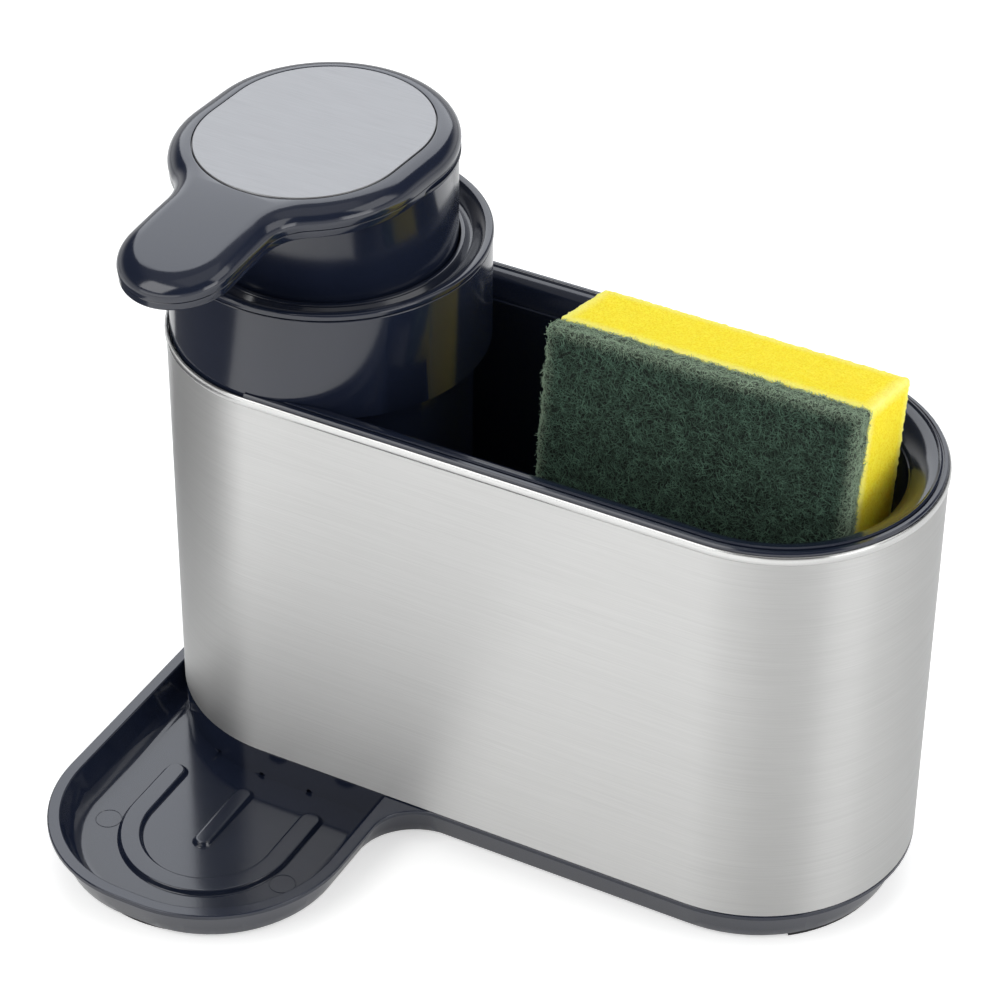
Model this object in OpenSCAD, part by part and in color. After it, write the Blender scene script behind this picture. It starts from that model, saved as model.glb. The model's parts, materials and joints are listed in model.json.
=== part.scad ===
// Soap pump caddy: a brushed steel sleeve on a moulded base with a drip tray,
// a lift-out soap bottle with a palm-sized press pump, and a well that holds a sponge.
// The part stands on its rubber feet. +X runs along the caddy to the sponge's end,
// -Y to the drip tray and the spout, +Z up. The origin is under the middle of the whole part.

/* [Sleeve] */
// Length of the steel sleeve, end to end
body_length = 228; // [216:1:244]
// Depth of the steel sleeve, front to back
body_depth = 92; // [90:0.5:96]
// Height of the steel sleeve
sleeve_height = 124; // [116:1:136]
// Thickness of the sheet steel
steel_wall = 0.7; // [0.5:0.1:0.9]
// Height of the rolled bead round the sleeve's top
bead_height = 2.8; // [2:0.1:3.4]
// How far the bead stands out of the sleeve
bead_out = 0.5; // [0.3:0.1:0.8]

/* [Base and drip tray] */
// Height of the base, from the table to the top of its flange
base_height = 12.9; // [12:0.1:16]
// Height of the gap that shows as a dark line under the sleeve
shadow_gap = 0.4; // [0.2:0.1:0.6]
// Thickness of the base's floor
base_floor = 2; // [1.6:0.1:2.6]
// Thickness of the flange round the base and the tray
flange_thick = 1.3; // [1:0.1:2]
// How far the base's wall leans in from the flange to the floor
base_taper = 3.8; // [2.5:0.1:5]
// How far the tray stands out in front of the sleeve
tray_reach = 72; // [66:1:84]
// How far the tray's sides are set in from the sleeve's round end
tray_set_in = 0.9; // [0.5:0.1:3]
// Length of the straight between the tray's two round front corners
tray_flat = 7.6; // [5:0.2:20]
// Width of the tray's flat lip
tray_lip = 3.6; // [2.6:0.1:4.6]
// Radius where the tray's side runs into the base's front
tray_fillet = 13.8; // [8:0.1:18]
// Width of the ribs on the tray's floor
rib_width = 6.6; // [4:0.1:8]
// Height of those ribs
rib_height = 1.4; // [0.8:0.1:2]
// Radius of the bent rib, at the middle of its width
rib_bend = 22.7; // [19:0.1:24]

/* [Feet and screws] */
// Thickness of the rubber feet
foot_thick = 1.6; // [1.4:0.1:2.4]
// Width of the rubber feet
foot_width = 5; // [3:0.1:7]
// How far the feet hold the base off the table
foot_stand = 1; // [0.6:0.1:1.2]
// Radius of the screws' shanks
screw_r = 1.45; // [1.2:0.05:1.6]
// Radius of the screws' heads
screw_head_r = 2.9; // [2.4:0.1:3.2]
// Length of the screws under the head
screw_length = 11; // [9.5:0.5:13]

/* [Liner] */
// Thickness of the liner's walls and floors
liner_wall = 2; // [1.5:0.1:2.4]
// Width of the sloping rim between the sleeve and the well
rim_width = 10.6; // [9:0.1:12]
// How far that rim slopes down to the well
rim_drop = 5.9; // [4:0.1:7]
// Height of the space under the liner's deep floor
under_floor = 9.1; // [8:0.1:12]
// Depth of the sponge shelf below the sleeve's top edge
shelf_depth = 37.3; // [30:0.1:44]
// Width of the shelf's drain slots
slot_width = 3; // [2:0.1:4]

/* [Bottle] */
// How far the bottle's shoulder stands out of its body
shoulder = 5.3; // [4.5:0.1:6]
// Thickness of the bottle's wall
bottle_wall = 2; // [1.5:0.1:2.2]
// Height of the bottle's wide collar
collar_height = 31.4; // [29:0.1:36]
// Depth of the collar's seat below the sleeve's top edge
seat_depth = 3.8; // [3:0.1:4.4]

/* [Refill cap] */
// Thickness of the cap's walls
cap_wall = 1.9; // [1.5:0.1:2.2]
// Height of the lip that lies on the bottle
cap_lip_height = 1.8; // [1.4:0.1:2.6]
// Width of the cap's sloping funnel
cap_funnel = 5.7; // [4.6:0.1:6]
// How far the funnel drops from the lip's crest
cap_funnel_drop = 3.6; // [2.6:0.1:4]
// Depth of the plug that goes into the bottle's mouth
plug_depth = 13; // [11:0.5:16]
// Thickness of the cup's wall at its foot, between the skirt and the bottle
cup_foot_wall = 1.4; // [1.1:0.1:1.6]

/* [Pump] */
// How far the head can be pressed down
stroke = 14; // [10:0.5:15]
// Radius of the pump's bore
bore_r = 7.6; // [6.6:0.1:8.2]
// Thickness of the pump housing's wall
housing_wall = 1.7; // [1.3:0.1:2]
// Radius of the pump's stem
stem_r = 4.5; // [4.2:0.1:4.8]
// Radial play of the pieces that slide or turn in each other
run_gap = 0.05; // [0.03:0.01:0.08]
// Radius of the steel inlet ball
inlet_ball_r = 2.6; // [2.3:0.1:2.8]
// How far the inlet ball lifts
inlet_lift = 1.5; // [1:0.1:2]
// Radius of the steel outlet ball
outlet_ball_r = 2.4; // [2.1:0.1:2.5]
// How far the outlet ball lifts
outlet_lift = 1.2; // [0.8:0.1:1.6]
// Radius of the return spring's wire
wire_r = 0.45; // [0.35:0.05:0.5]
// Number of the return spring's curls
spring_curls = 8; // [6:1:9]
// Radius of the dip tube
tube_r = 3.2; // [2.8:0.1:3.4]
// Thickness of the dip tube's wall
tube_wall = 1; // [0.7:0.1:1.2]

/* [Head] */
// How far the head's round ends stand out over the skirt
head_brim = 0.3; // [0.1:0.1:1.4]
// Half of the straight stretch between those ends
head_straight = 6.3; // [4:0.1:9]
// How far the head is set forward of the pump's axis
head_shift = 5.7; // [4:0.1:6.3]
// Height of the skirt that shows above the cap, at rest
skirt_show = 27.8; // [25:0.1:32]
// Half width of the spout
spout_half = 16.5; // [14:0.1:18]
// Distance from the pump's axis to the middle of the spout's round tip
spout_reach = 67.2; // [62:0.1:72]
// Radius of the hollow where the spout leaves the head
neck_fillet = 15; // [11:0.5:20]
// How far the spout's tip droops
spout_droop = 5; // [3:0.1:6]
// How much lower the head's top is at the tip, against its parting line
tip_thin = 0.8; // [0:0.1:1.2]
// Thickness of the head's upper cover
cover_height = 6; // [5.4:0.1:7.5]
// Thickness of the head's lower shell
lower_height = 2.4; // [1.8:0.1:3]
// Width of the cover's border round the steel disc
disc_border = 6.7; // [6.5:0.1:8.5]
// Turn of the head in the photograph's pose, in degrees
head_turn = -4; // [-12:1:12]

/* [Sponge] */
// Width of the space for brushes between the bottle's collar and the sponge
tool_space = 28.9; // [24:0.1:34]
// Thickness of the sponge with its pad
sponge_thick = 37.3; // [32:0.1:38]
// Thickness of the scouring pad
pad_thick = 8.7; // [6:0.1:10]
// Height of the sponge's front face
sponge_height = 66; // [60:0.5:74]
// Lean of the sponge to the back, in degrees
sponge_lean = 8; // [4:0.5:9]
// Slope of the sponge's top to the back, in degrees
sponge_slope = 13.5; // [6:0.5:15]

/* [Hidden] */
$fn = 96;

// One overrun serves every cut, and one clearance every pair of loose neighbours
over = 0.5;
fit_gap = 0.3;

// Plan of the body
end_r = body_depth / 2;
straight = body_length / 2 - end_r;
tray_front = end_r + tray_reach;
body_y = (tray_front - end_r - bead_out) / 2;

// Heights of the body
floor_top = foot_stand + base_floor;
sleeve_bottom = base_height + shadow_gap;
sleeve_top = sleeve_bottom + sleeve_height;
steel_inner = end_r - steel_wall;

// Base: the insets of its wall, from the flange's edge inwards
step_inset = 0.7;
bevel_inset = 1;
bevel_rise = 1;
wall_bottom_inset = step_inset + base_taper;
base_inner_inset = 2.8;
base_inner = end_r - base_inner_inset;
spigot_rise = 4;
tray_x = -straight;
tray_half = end_r - tray_set_in;
corner_x = tray_flat / 2;
tray_corner = tray_half - corner_x;
corner_y = -tray_front + tray_corner;
foot_inset = wall_bottom_inset + bevel_inset;
join_y = sqrt(max(0, pow(end_r - foot_inset, 2) - pow(tray_half - foot_inset, 2))) - over;
pocket_foot = 10.6;
pocket_curve = 7.6;
pocket_wall = 5.6;
pocket_foot_rise = 0.9;
pocket_curve_rise = 3.2;
web_bite = 0.1;
plinth_inset = 0.4;
plinth_face = end_r - plinth_inset;
weep_r = 0.9;
weep_spread = 16;
weep_start_share = 0.7;
rib_set_back = 2.3;
rib_y = corner_y + rib_set_back;
arm_gap = 7.2;
arm_end = -end_r - arm_gap;
middle_rib_width = 5.5;
middle_rib_length = 27.5;

// Feet
foot_play = 0.15;
foot_margin = 0.2;
front_foot_r = tray_corner - foot_inset - foot_margin;
front_foot_sweep = 86;
side_foot_r = end_r - foot_inset - foot_margin;
side_foot_sweep = 100;

// Screws, and the posts that they join
screw_inset = 26;
screw_y = end_r - screw_inset;
post_r = 5;
pilot_r = screw_r + run_gap;
screw_play = 0.4;
screw_hole_r = screw_r + screw_play;
post_rise = 6;
post_meet = floor_top + post_rise;
screw_head_height = 2;
screw_seat = 6;
head_pocket_r = screw_head_r + screw_play;

// Liner
deep_floor = sleeve_bottom - shadow_gap + under_floor;
well_half = end_r - rim_width;
shelf_top = sleeve_top - shelf_depth;
rim_edge_inset = 0.2;
rim_crest = 1.5;
rim_foot = sleeve_top + rim_crest - rim_drop;
rim_crest_inset = 2.5;
rim_slope_top_inset = 3.2;
rim_bead = 1.1;
rim_bead_width = 0.9;
rim_groove_depth = 0.4;
rim_groove_width = 0.5;
rim_round = 0.4;
spigot_r = steel_inner - fit_gap;
spigot_depth = 6;
shelf_margin = 2.9;
slot_pitch = 9;
slot_rows_share = 0.62;
slot_end = 9;

// Bottle
collar_r = steel_inner - fit_gap;
bottle_r = collar_r - shoulder;
seat_top = sleeve_top - seat_depth;
collar_bottom = seat_top + fit_gap;
mouth_top = collar_bottom + collar_height;
mouth_r = collar_r - bottle_wall;
pocket_play = 0.6;
pocket_r = bottle_r + pocket_play;
bottle_bottom = deep_floor + liner_wall + fit_gap;
bottle_foot_bevel = 3;

// Refill cap
cap_lip_out = 0.2;
cap_rest = 0.35;
cap_bottom = mouth_top + cap_rest;
cap_top = cap_bottom + cap_lip_height;
cap_r = collar_r + cap_lip_out;
lip_round = 0.8;
lip_crest_width = 0.7;
skirt_play = 0.4;
skirt_r = bottle_r - bottle_wall - fit_gap - cup_foot_wall - skirt_play;
guide_r = skirt_r + skirt_play;
guide_rim = 1.6;
guide_rim_width = 1.6;
valley = cap_top - cap_funnel_drop;
cup_depth = 30;
skirt_spare = 1;
skirt_length = skirt_show + cup_depth - stroke - skirt_spare;
cup_floor_top = valley - cup_depth;
cup_wall_r = guide_r + cap_wall;
plug_play = 0.4;
plug_r = mouth_r - plug_play;
seal_width = 2;
seal_height = 2.4;
seal_bulge = 0.35;
seal_seat = 0.4;
cap_hole_r = bore_r + housing_wall + fit_gap;

// Pump housing, from the flange on the cap's floor down to the dip tube's socket
flange_width = 3.7;
flange_r = bore_r + housing_wall + flange_width;
gasket_height = 1;
housing_flange = 1.6;
housing_top = cup_floor_top + gasket_height + housing_flange;
guide_spigot = 9;
guide_plate = 3;
guide_height = 5.4;
piston_height = 8;
piston_top = housing_top - guide_spigot - fit_gap;
piston_bottom = piston_top - piston_height;
spring_packed = 14;
spring_length = stroke + spring_packed;
cage_top = piston_bottom - spring_length;
cage_play = 0.15;
cage_r = inlet_ball_r + cage_play;
seat_share = 0.66;
seat_hole_r = inlet_ball_r * seat_share;
cage_lip = 1;
cage_hold = 0.3;
cage_lip_r = inlet_ball_r - cage_hold;
ball_rest = 0.05;
inlet_rise = sqrt(pow(inlet_ball_r, 2) - pow(seat_hole_r, 2)) + ball_rest;
inlet_seat = cage_top - cage_lip - inlet_ball_r - inlet_lift - inlet_rise - ball_rest;
seat_plate = 2;
socket_depth = 9;
socket_top = inlet_seat - seat_plate;
socket_r = tube_r + run_gap;
socket_wall = 1.5;
nut_height = 5;
nut_wall = 4;
nut_facets_share = 0.12;
nut_grips = 6;
spring_play = 1.7;
spring_r = bore_r - wire_r - spring_play;
tube_stand = 2.5;
tube_bottom = bottle_bottom + bottle_wall + tube_stand;
tube_top = socket_top - fit_gap;

// Head
head_r = skirt_r + head_brim;
disc_r = head_r - disc_border;
disc_thick = 0.8;
disc_proud = 0.1;
disc_gap = 0.2;
disc_bed = 0.1;
skirt_wall = 1.6;
lower_bottom = valley + skirt_show;
skirt_bottom = lower_bottom - skirt_length;
parting = lower_bottom + lower_height;
parting_gap = 0.15;
cover_wall = 1.6;
edge_round = 6.1;
edge_stand = 1.2;
droop_start = head_shift + head_straight + disc_r + disc_gap + over;
spout_end = spout_reach + spout_half;
boss_r = 7.5;
boss_depth = 12;
boss_roof = 1.2;
stem_top = lower_bottom + lower_height - boss_roof - fit_gap;
stem_bottom = piston_bottom;
chamber_spare = 1.4;
outlet_seat = stem_top - 2 * outlet_ball_r - outlet_lift - chamber_spare;
chamber_r = outlet_ball_r + cage_play;
stem_bore_r = outlet_ball_r * seat_share;
outlet_rise = sqrt(pow(outlet_ball_r, 2) - pow(stem_bore_r, 2)) + ball_rest;
channel_r = 1.8;
channel_bore_r = 1.2;
channel_boss_r = 3.4;
channel_clear = 0.4;
nozzle_r = 3.2;
nozzle_bore_r = 1.7;
nozzle_drop = 1.8;
nozzle_play = 0.1;
nozzle_top_drop = 0.6;
channel_play = 0.25;
nozzle_grip = 2.4;
bend_back_share = 0.4;
bend_ball_share = 1.15;

// Sponge: upright in the well's round end, which its lower corners are pressed into
sponge_bottom = shelf_top + fit_gap;
rim_run = (rim_foot - sponge_bottom) * tan(sponge_lean);
plan_thick = sponge_thick * (cos(sponge_slope) + sin(sponge_slope) * tan(sponge_lean));
sponge_front = -plan_thick / 2 - rim_run;
sponge_end_gap = 1.2;
sponge_end = straight - sponge_end_gap
    + sqrt(pow(well_half - fit_gap, 2) - pow(plan_thick / 2, 2));
sponge_start = collar_r - straight + tool_space;
sponge_length = sponge_end - sponge_start;
shelf_start = sponge_start - shelf_margin;

// Places
module at_body() { translate([0, body_y, 0]) children(); }
module at_bottle() { translate([-straight, body_y, 0]) children(); }
module at_head() { at_bottle() rotate([0, 0, head_turn]) children(); }

// Points along an arc
function arc(x, y, r, a0, a1, steps, from = 0) =
    [for (i = [from:steps]) let (a = a0 + (a1 - a0) * i / steps) [x + r * cos(a), y + r * sin(a)]];

// A race-track solid: round ends of radius r about the two end centres
module race(r, h) {
    for (s = [-1, 1]) translate([s * straight, 0, 0]) cylinder(r = r, h = h);
    translate([-straight, -r, 0]) cube([2 * straight, 2 * r, h]);
}

// The same with a sloping side, r1 at its foot and r2 at its top
module race_cone(r1, r2, h) {
    for (s = [-1, 1]) translate([s * straight, 0, 0]) cylinder(r1 = r1, r2 = r2, h = h);
    rotate([90, 0, 90]) linear_extrude(2 * straight, center = true)
        polygon([[-r1, 0], [r1, 0], [r2, h], [-r2, h]]);
}

// A profile of radius and height, swept round the race track
module race_sweep(points) {
    for (s = [0, 1]) rotate([0, 0, 180 * s]) {
        translate([straight, 0, 0]) rotate([0, 0, -90]) rotate_extrude(angle = 180) polygon(points);
        translate([-straight, 0, 0]) rotate([90, 0, 90]) linear_extrude(2 * straight)
            polygon(points);
    }
}

// The tray's U-shaped solid with sloping sides, inset by i1 at its foot and i2 at its top
module tray_cone(i1, i2, h) {
    translate([tray_x, 0, 0]) {
        for (s = [-1, 1]) translate([s * corner_x, corner_y, 0])
            cylinder(r1 = tray_corner - i1, r2 = tray_corner - i2, h = h);
        translate([0, corner_y, 0]) rotate([90, 0, 90]) linear_extrude(2 * corner_x, center = true)
            polygon([[0, 0], [-(tray_corner - i1), 0], [-(tray_corner - i2), h], [0, h]]);
        translate([0, corner_y, 0]) rotate([90, 0, 0]) mirror([0, 0, 1])
            linear_extrude(-corner_y - join_y)
                polygon([[-(tray_half - i1), 0], [tray_half - i1, 0],
                    [tray_half - i2, h], [-(tray_half - i2), h]]);
    }
}

// The hollow corner between the tray's side and the base's front, inset as the walls are.
// Its arc bites a little into both walls, so that it crosses them instead of touching them
module corner_web(i1, i2, h) {
    web_x = tray_x + tray_half;
    reach = tray_fillet - web_bite;
    difference() {
        translate([web_x - tray_fillet / 2, -end_r - reach, 0])
            cube([1.5 * tray_fillet - web_bite, tray_fillet * 1.5, h]);
        translate([web_x + reach, -end_r - reach, 0])
            cylinder(r1 = tray_fillet + i1, r2 = tray_fillet + i2, h = h);
    }
}

module base_layer(i1, i2, h) {
    race_cone(end_r - i1, end_r - i2, h);
    tray_cone(i1, i2, h);
    corner_web(i1, i2, h);
}

// A bar with round ends along Y, from y0 to y1
module round_bar(width, y0, y1, h) {
    for (y = [y0 + width / 2, y1 - width / 2]) translate([0, y, 0]) cylinder(r = width / 2, h = h);
    translate([-width / 2, y0 + width / 2, 0]) cube([width, y1 - y0 - width, h]);
}

module tray_ribs() {
    h = rib_height + over;
    translate([tray_x, 0, floor_top - over]) {
        difference() {
            union() {
                translate([0, rib_y, 0]) rotate([0, 0, 180]) rotate_extrude(angle = 180)
                    translate([rib_bend - rib_width / 2, 0]) square([rib_width, h]);
                for (s = [-1, 1]) translate([s * rib_bend, 0, 0])
                    round_bar(rib_width, rib_y - rib_width / 2, arm_end, h);
            }
            translate([0, rib_y, -over]) cylinder(r = rib_bend - rib_width / 2, h = h + 2 * over);
        }
        round_bar(middle_rib_width, arm_end - middle_rib_length, arm_end, h);
    }
}

// An arc of foot, or of the seat that it is glued into
module foot_arc(r, from, sweep, play, z, h) {
    translate([0, 0, z]) rotate([0, 0, from]) rotate_extrude(angle = sweep)
        translate([r - foot_width - play, 0]) square([foot_width + 2 * play, h]);
}

module feet(play, z, h) {
    spread = asin(play / front_foot_r) * 2;
    translate([tray_x, corner_y, 0])
        foot_arc(front_foot_r, -90 - front_foot_sweep / 2 - spread / 2,
            front_foot_sweep + spread, play, z, h);
    for (s = [0, 1]) translate([(s * 2 - 1) * straight, 0, 0])
        foot_arc(side_foot_r, 180 - 180 * s - side_foot_sweep / 2 - spread / 2,
            side_foot_sweep + spread, play, z, h);
}

module screw_places() {
    for (x = [-straight, straight], y = [-screw_y, screw_y]) translate([x, y, 0]) children();
}

// The moulded base: a shallow dish with a flange, the tray's pocket and the sleeve's spigot
module drip_tray_base() color("#2b303b") at_body() difference() {
    union() {
        difference() {
            union() {
                translate([0, 0, foot_stand]) base_layer(wall_bottom_inset + bevel_inset,
                    wall_bottom_inset, bevel_rise);
                translate([0, 0, foot_stand + bevel_rise]) base_layer(wall_bottom_inset,
                    step_inset, base_height - flange_thick - foot_stand - bevel_rise);
                translate([0, 0, base_height - flange_thick]) base_layer(0, 0, flange_thick);
                translate([0, 0, base_height - over]) race(spigot_r, spigot_rise + over);
            }
            translate([0, 0, floor_top]) race_cone(end_r - wall_bottom_inset - base_floor,
                base_inner, base_height - flange_thick - floor_top);
            translate([0, 0, base_height - flange_thick]) race(base_inner, base_height);
            difference() {
                union() {
                    translate([0, 0, floor_top])
                        tray_cone(pocket_foot, pocket_curve, pocket_foot_rise);
                    translate([0, 0, floor_top + pocket_foot_rise])
                        tray_cone(pocket_curve, pocket_wall, pocket_curve_rise - pocket_foot_rise);
                    translate([0, 0, floor_top + pocket_curve_rise]) tray_cone(pocket_wall, tray_lip,
                        base_height - floor_top - pocket_curve_rise);
                    translate([0, 0, base_height]) tray_cone(tray_lip, tray_lip, over);
                }
                race(plinth_face, base_height + over * 2);
            }
        }
        tray_ribs();
        screw_places() translate([0, 0, floor_top - over])
            cylinder(r = post_r, h = post_meet - floor_top + over);
    }
    for (s = [-1, 0, 1])
        translate([tray_x + s * weep_spread, -end_r * weep_start_share, floor_top + weep_r / 2])
            rotate([90, 0, 0]) cylinder(r = weep_r, h = end_r * (1 - weep_start_share) + over);
    screw_places() cylinder(r = screw_hole_r, h = post_meet + over);
    screw_places() cylinder(r = head_pocket_r, h = screw_seat);
    feet(foot_play, 0, foot_thick);
}

module rubber_feet() color("#15161a") at_body() feet(0, 0, foot_thick);

module base_screws() color("#9aa0a6") at_body() screw_places() {
    translate([0, 0, screw_seat - screw_head_height]) cylinder(r = screw_head_r, h = screw_head_height);
    translate([0, 0, screw_seat - over]) cylinder(r = screw_r, h = screw_length + over);
}

module steel_sleeve() color("#c9cbcc") at_body() {
    bead_r = bead_height / 2;
    bead_mid = sleeve_top - bead_r;
    outer_bulge = bead_out / bead_r;
    inner_r = steel_inner;
    race_sweep(concat(
        [[inner_r, sleeve_bottom], [end_r, sleeve_bottom], [end_r, bead_mid - bead_r]],
        [for (a = [-60:30:60]) [end_r + bead_r * outer_bulge * cos(a), bead_mid + bead_r * sin(a)]],
        [[end_r - steel_wall / 3, sleeve_top], [inner_r, sleeve_top]]));
}

// The space inside the liner: a round pocket for the bottle, open to the well
module liner_space(clearance, from, to) {
    translate([-straight, 0, from]) cylinder(r = pocket_r - clearance, h = to - from);
    translate([-straight, -well_half + clearance, from])
        cube([straight + shelf_start - clearance, 2 * (well_half - clearance), to - from]);
}

module shelf_space(clearance, from, to) {
    start = shelf_start + liner_wall + clearance;
    translate([start, -well_half + clearance, from])
        cube([straight - start, 2 * (well_half - clearance), to - from]);
    translate([straight, 0, from]) cylinder(r = well_half - clearance, h = to - from);
}

module liner_rim() {
    edge = end_r - rim_edge_inset;
    bead_top = sleeve_top + rim_bead;
    groove_in = edge - rim_round - rim_bead_width - rim_groove_width;
    race_sweep([
        [well_half - over, rim_foot - liner_wall],
        [well_half - over, rim_foot - rim_round - over], [well_half + rim_round, rim_foot],
        [end_r - rim_slope_top_inset, sleeve_top + rim_crest - rim_round],
        [end_r - rim_crest_inset, sleeve_top + rim_crest],
        [groove_in, sleeve_top + rim_crest - rim_round / 2],
        [groove_in, bead_top - rim_groove_depth],
        [groove_in + rim_groove_width, bead_top - rim_groove_depth],
        [groove_in + rim_groove_width, bead_top],
        [edge - rim_round, bead_top], [edge, bead_top - rim_round],
        [edge, sleeve_top], [spigot_r, sleeve_top],
        [spigot_r, sleeve_top - spigot_depth], [spigot_r - liner_wall, sleeve_top - spigot_depth],
        [spigot_r - liner_wall, sleeve_top - liner_wall / 2],
        [well_half + liner_wall * 0.8, rim_foot - liner_wall]]);
}

// The moulded liner hangs on the sleeve's top edge and is screwed to the base
module liner() color("#2b303b") at_body() difference() {
    union() {
        liner_rim();
        translate([-straight, 0, seat_top - liner_wall])
            cylinder(r = spigot_r - liner_wall / 2, h = liner_wall);
        liner_space(-liner_wall, deep_floor, rim_foot - liner_wall / 2);
        translate([0, 0, shelf_top - liner_wall])
            shelf_space(-liner_wall, 0, rim_foot - shelf_top + liner_wall / 2);
        for (y = [-screw_y, screw_y], end = [[-straight, deep_floor + liner_wall], [straight, shelf_top]])
            translate([end[0], y, post_meet])
                cylinder(r = post_r, h = end[1] - liner_wall / 2 - post_meet);
    }
    liner_space(0, deep_floor + liner_wall, sleeve_top + rim_crest + over);
    shelf_space(0, shelf_top, sleeve_top + rim_crest + over);
    // The bottle's wide collar drops in here, so the rim stops at the bottle's axis
    translate([-straight, 0, seat_top])
        cylinder(r = spigot_r + fit_gap, h = seat_depth + 2 * rim_crest);
    translate([-straight - end_r - over, -end_r, sleeve_top - over])
        cube([end_r - over, 2 * end_r, rim_crest + 2 * over]);
    // The well is open to the bottle's pocket and to the shelf above the shelf's own wall
    translate([shelf_start - over, -well_half, shelf_top + liner_wall])
        cube([liner_wall + 2 * over, 2 * well_half, sleeve_top + rim_crest - shelf_top]);
    shelf_slots();
    screw_places() translate([0, 0, post_meet - over])
        cylinder(r = pilot_r, h = screw_seat + screw_length - post_meet + 2 * over);
}

module shelf_slots() {
    reach = well_half * slot_rows_share;
    first = shelf_start + liner_wall + slot_end;
    last = straight + well_half - slot_end;
    for (x = [first : slot_pitch : last]) {
        half = min(reach, sqrt(max(pow(well_half - slot_end, 2) - pow(max(x - straight, 0), 2), 0)));
        if (abs(x - straight) > post_r + slot_width && half > slot_width)
            translate([x, 0, shelf_top - liner_wall - over])
                round_bar(slot_width, -half, half, liner_wall + 2 * over);
    }
}

// A wide-mouthed bottle: a body that drops into the pocket and a collar that carries it
module bottle() color("#2b303b") at_bottle() rotate_extrude() polygon([
    [0, bottle_bottom], [bottle_r - bottle_foot_bevel, bottle_bottom],
    [bottle_r, bottle_bottom + bottle_foot_bevel], [bottle_r, collar_bottom],
    [collar_r, collar_bottom], [collar_r, mouth_top], [mouth_r, mouth_top],
    [mouth_r, collar_bottom + bottle_wall], [bottle_r - bottle_wall, collar_bottom + bottle_wall],
    [bottle_r - bottle_wall, bottle_bottom + bottle_foot_bevel + bottle_wall / 2],
    [bottle_r - bottle_wall - bottle_foot_bevel, bottle_bottom + bottle_wall],
    [0, bottle_bottom + bottle_wall]]);

// The refill cap: a lip, a funnel, a cup that guides the skirt, and a plug with a seal
module refill_cap() color("#2b303b") at_bottle() difference() {
    rotate_extrude() polygon([
        [cap_hole_r, cup_floor_top - cap_wall],
        [guide_r + cup_foot_wall, cup_floor_top - cap_wall],
        [cup_wall_r, cap_bottom - cap_wall - cap_funnel_drop],
        [plug_r - cap_wall, cap_bottom - cap_funnel_drop],
        [plug_r - cap_wall, cap_bottom - plug_depth], [plug_r, cap_bottom - plug_depth],
        [plug_r, cap_bottom], [cap_r, cap_bottom], [cap_r, cap_top - lip_round],
        [cap_r - lip_round * 0.3, cap_top - lip_round * 0.3], [cap_r - lip_round, cap_top],
        [cap_r - lip_round - lip_crest_width, cap_top - lip_round / 8],
        [cap_r - cap_funnel, valley], [guide_r + guide_rim_width, valley + guide_rim / 4],
        [guide_r + guide_rim_width / 3, valley + guide_rim],
        [guide_r, valley + guide_rim], [guide_r, cup_floor_top], [cap_hole_r, cup_floor_top]]);
    translate([0, 0, cap_bottom - plug_depth + seal_height]) rotate_extrude()
        translate([plug_r - seal_width + seal_bulge, 0]) square([seal_width, seal_height]);
}

module cap_seal() color("#8d9096") at_bottle()
    translate([0, 0, cap_bottom - plug_depth + seal_height + seal_seat / 2]) rotate_extrude()
        translate([plug_r - seal_width + seal_bulge, 0]) polygon([
            [0, 0], [seal_width - seal_bulge, 0], [seal_width, seal_bulge],
            [seal_width, seal_height - seal_seat - seal_bulge],
            [seal_width - seal_bulge, seal_height - seal_seat], [0, seal_height - seal_seat]]);

// The pump's cylinder, with the inlet ball's cage and the dip tube's socket below
module pump_housing() color("#e4e5e2") at_bottle() {
    outer = bore_r + housing_wall;
    rotate_extrude() polygon([
        [bore_r, housing_top], [flange_r, housing_top], [flange_r, housing_top - housing_flange],
        [outer, housing_top - housing_flange], [outer, cage_top - housing_wall],
        [socket_r + socket_wall, inlet_seat - seat_plate],
        [socket_r + socket_wall, socket_top - socket_depth],
        [socket_r, socket_top - socket_depth], [socket_r, socket_top], [seat_hole_r, socket_top],
        [seat_hole_r, inlet_seat], [cage_r, inlet_seat + cage_r - seat_hole_r],
        [cage_r, cage_top - cage_lip], [cage_lip_r, cage_top - cage_lip], [cage_lip_r, cage_top],
        [bore_r, cage_top]]);
}

module housing_gasket() color("#26272b") at_bottle() translate([0, 0, cup_floor_top]) difference() {
    cylinder(r = flange_r, h = gasket_height);
    translate([0, 0, -over]) cylinder(r = cap_hole_r, h = gasket_height + 2 * over);
}

// The ring nut that clamps the housing to the cup's floor from below
module housing_nut() color("#e4e5e2") at_bottle()
    translate([0, 0, cup_floor_top - cap_wall - nut_height]) difference() {
        outer = bore_r + housing_wall + nut_wall;
        cylinder(r = outer, h = nut_height);
        translate([0, 0, -over]) cylinder(r = bore_r + housing_wall + run_gap, h = nut_height + 2 * over);
        for (i = [0 : nut_grips - 1]) rotate([0, 0, i * 360 / nut_grips])
            translate([outer + outer * nut_facets_share / 4, 0, -over])
                cylinder(r = outer * nut_facets_share, h = nut_height + 2 * over);
    }

// The guide snaps over the housing, leads the stem and stops the piston
module stem_guide() color("#e4e5e2") at_bottle() rotate_extrude() polygon([
    [stem_r + run_gap, housing_top + guide_height - guide_plate],
    [bore_r - fit_gap / 3 - housing_wall, housing_top + guide_height - guide_plate],
    [bore_r - fit_gap / 3 - housing_wall, housing_top - guide_spigot],
    [bore_r - fit_gap / 3, housing_top - guide_spigot], [bore_r - fit_gap / 3, housing_top],
    [flange_r - fit_gap, housing_top], [flange_r - fit_gap, housing_top + guide_height - rim_round],
    [flange_r - fit_gap - rim_round, housing_top + guide_height],
    [stem_r + run_gap, housing_top + guide_height]]);

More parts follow.
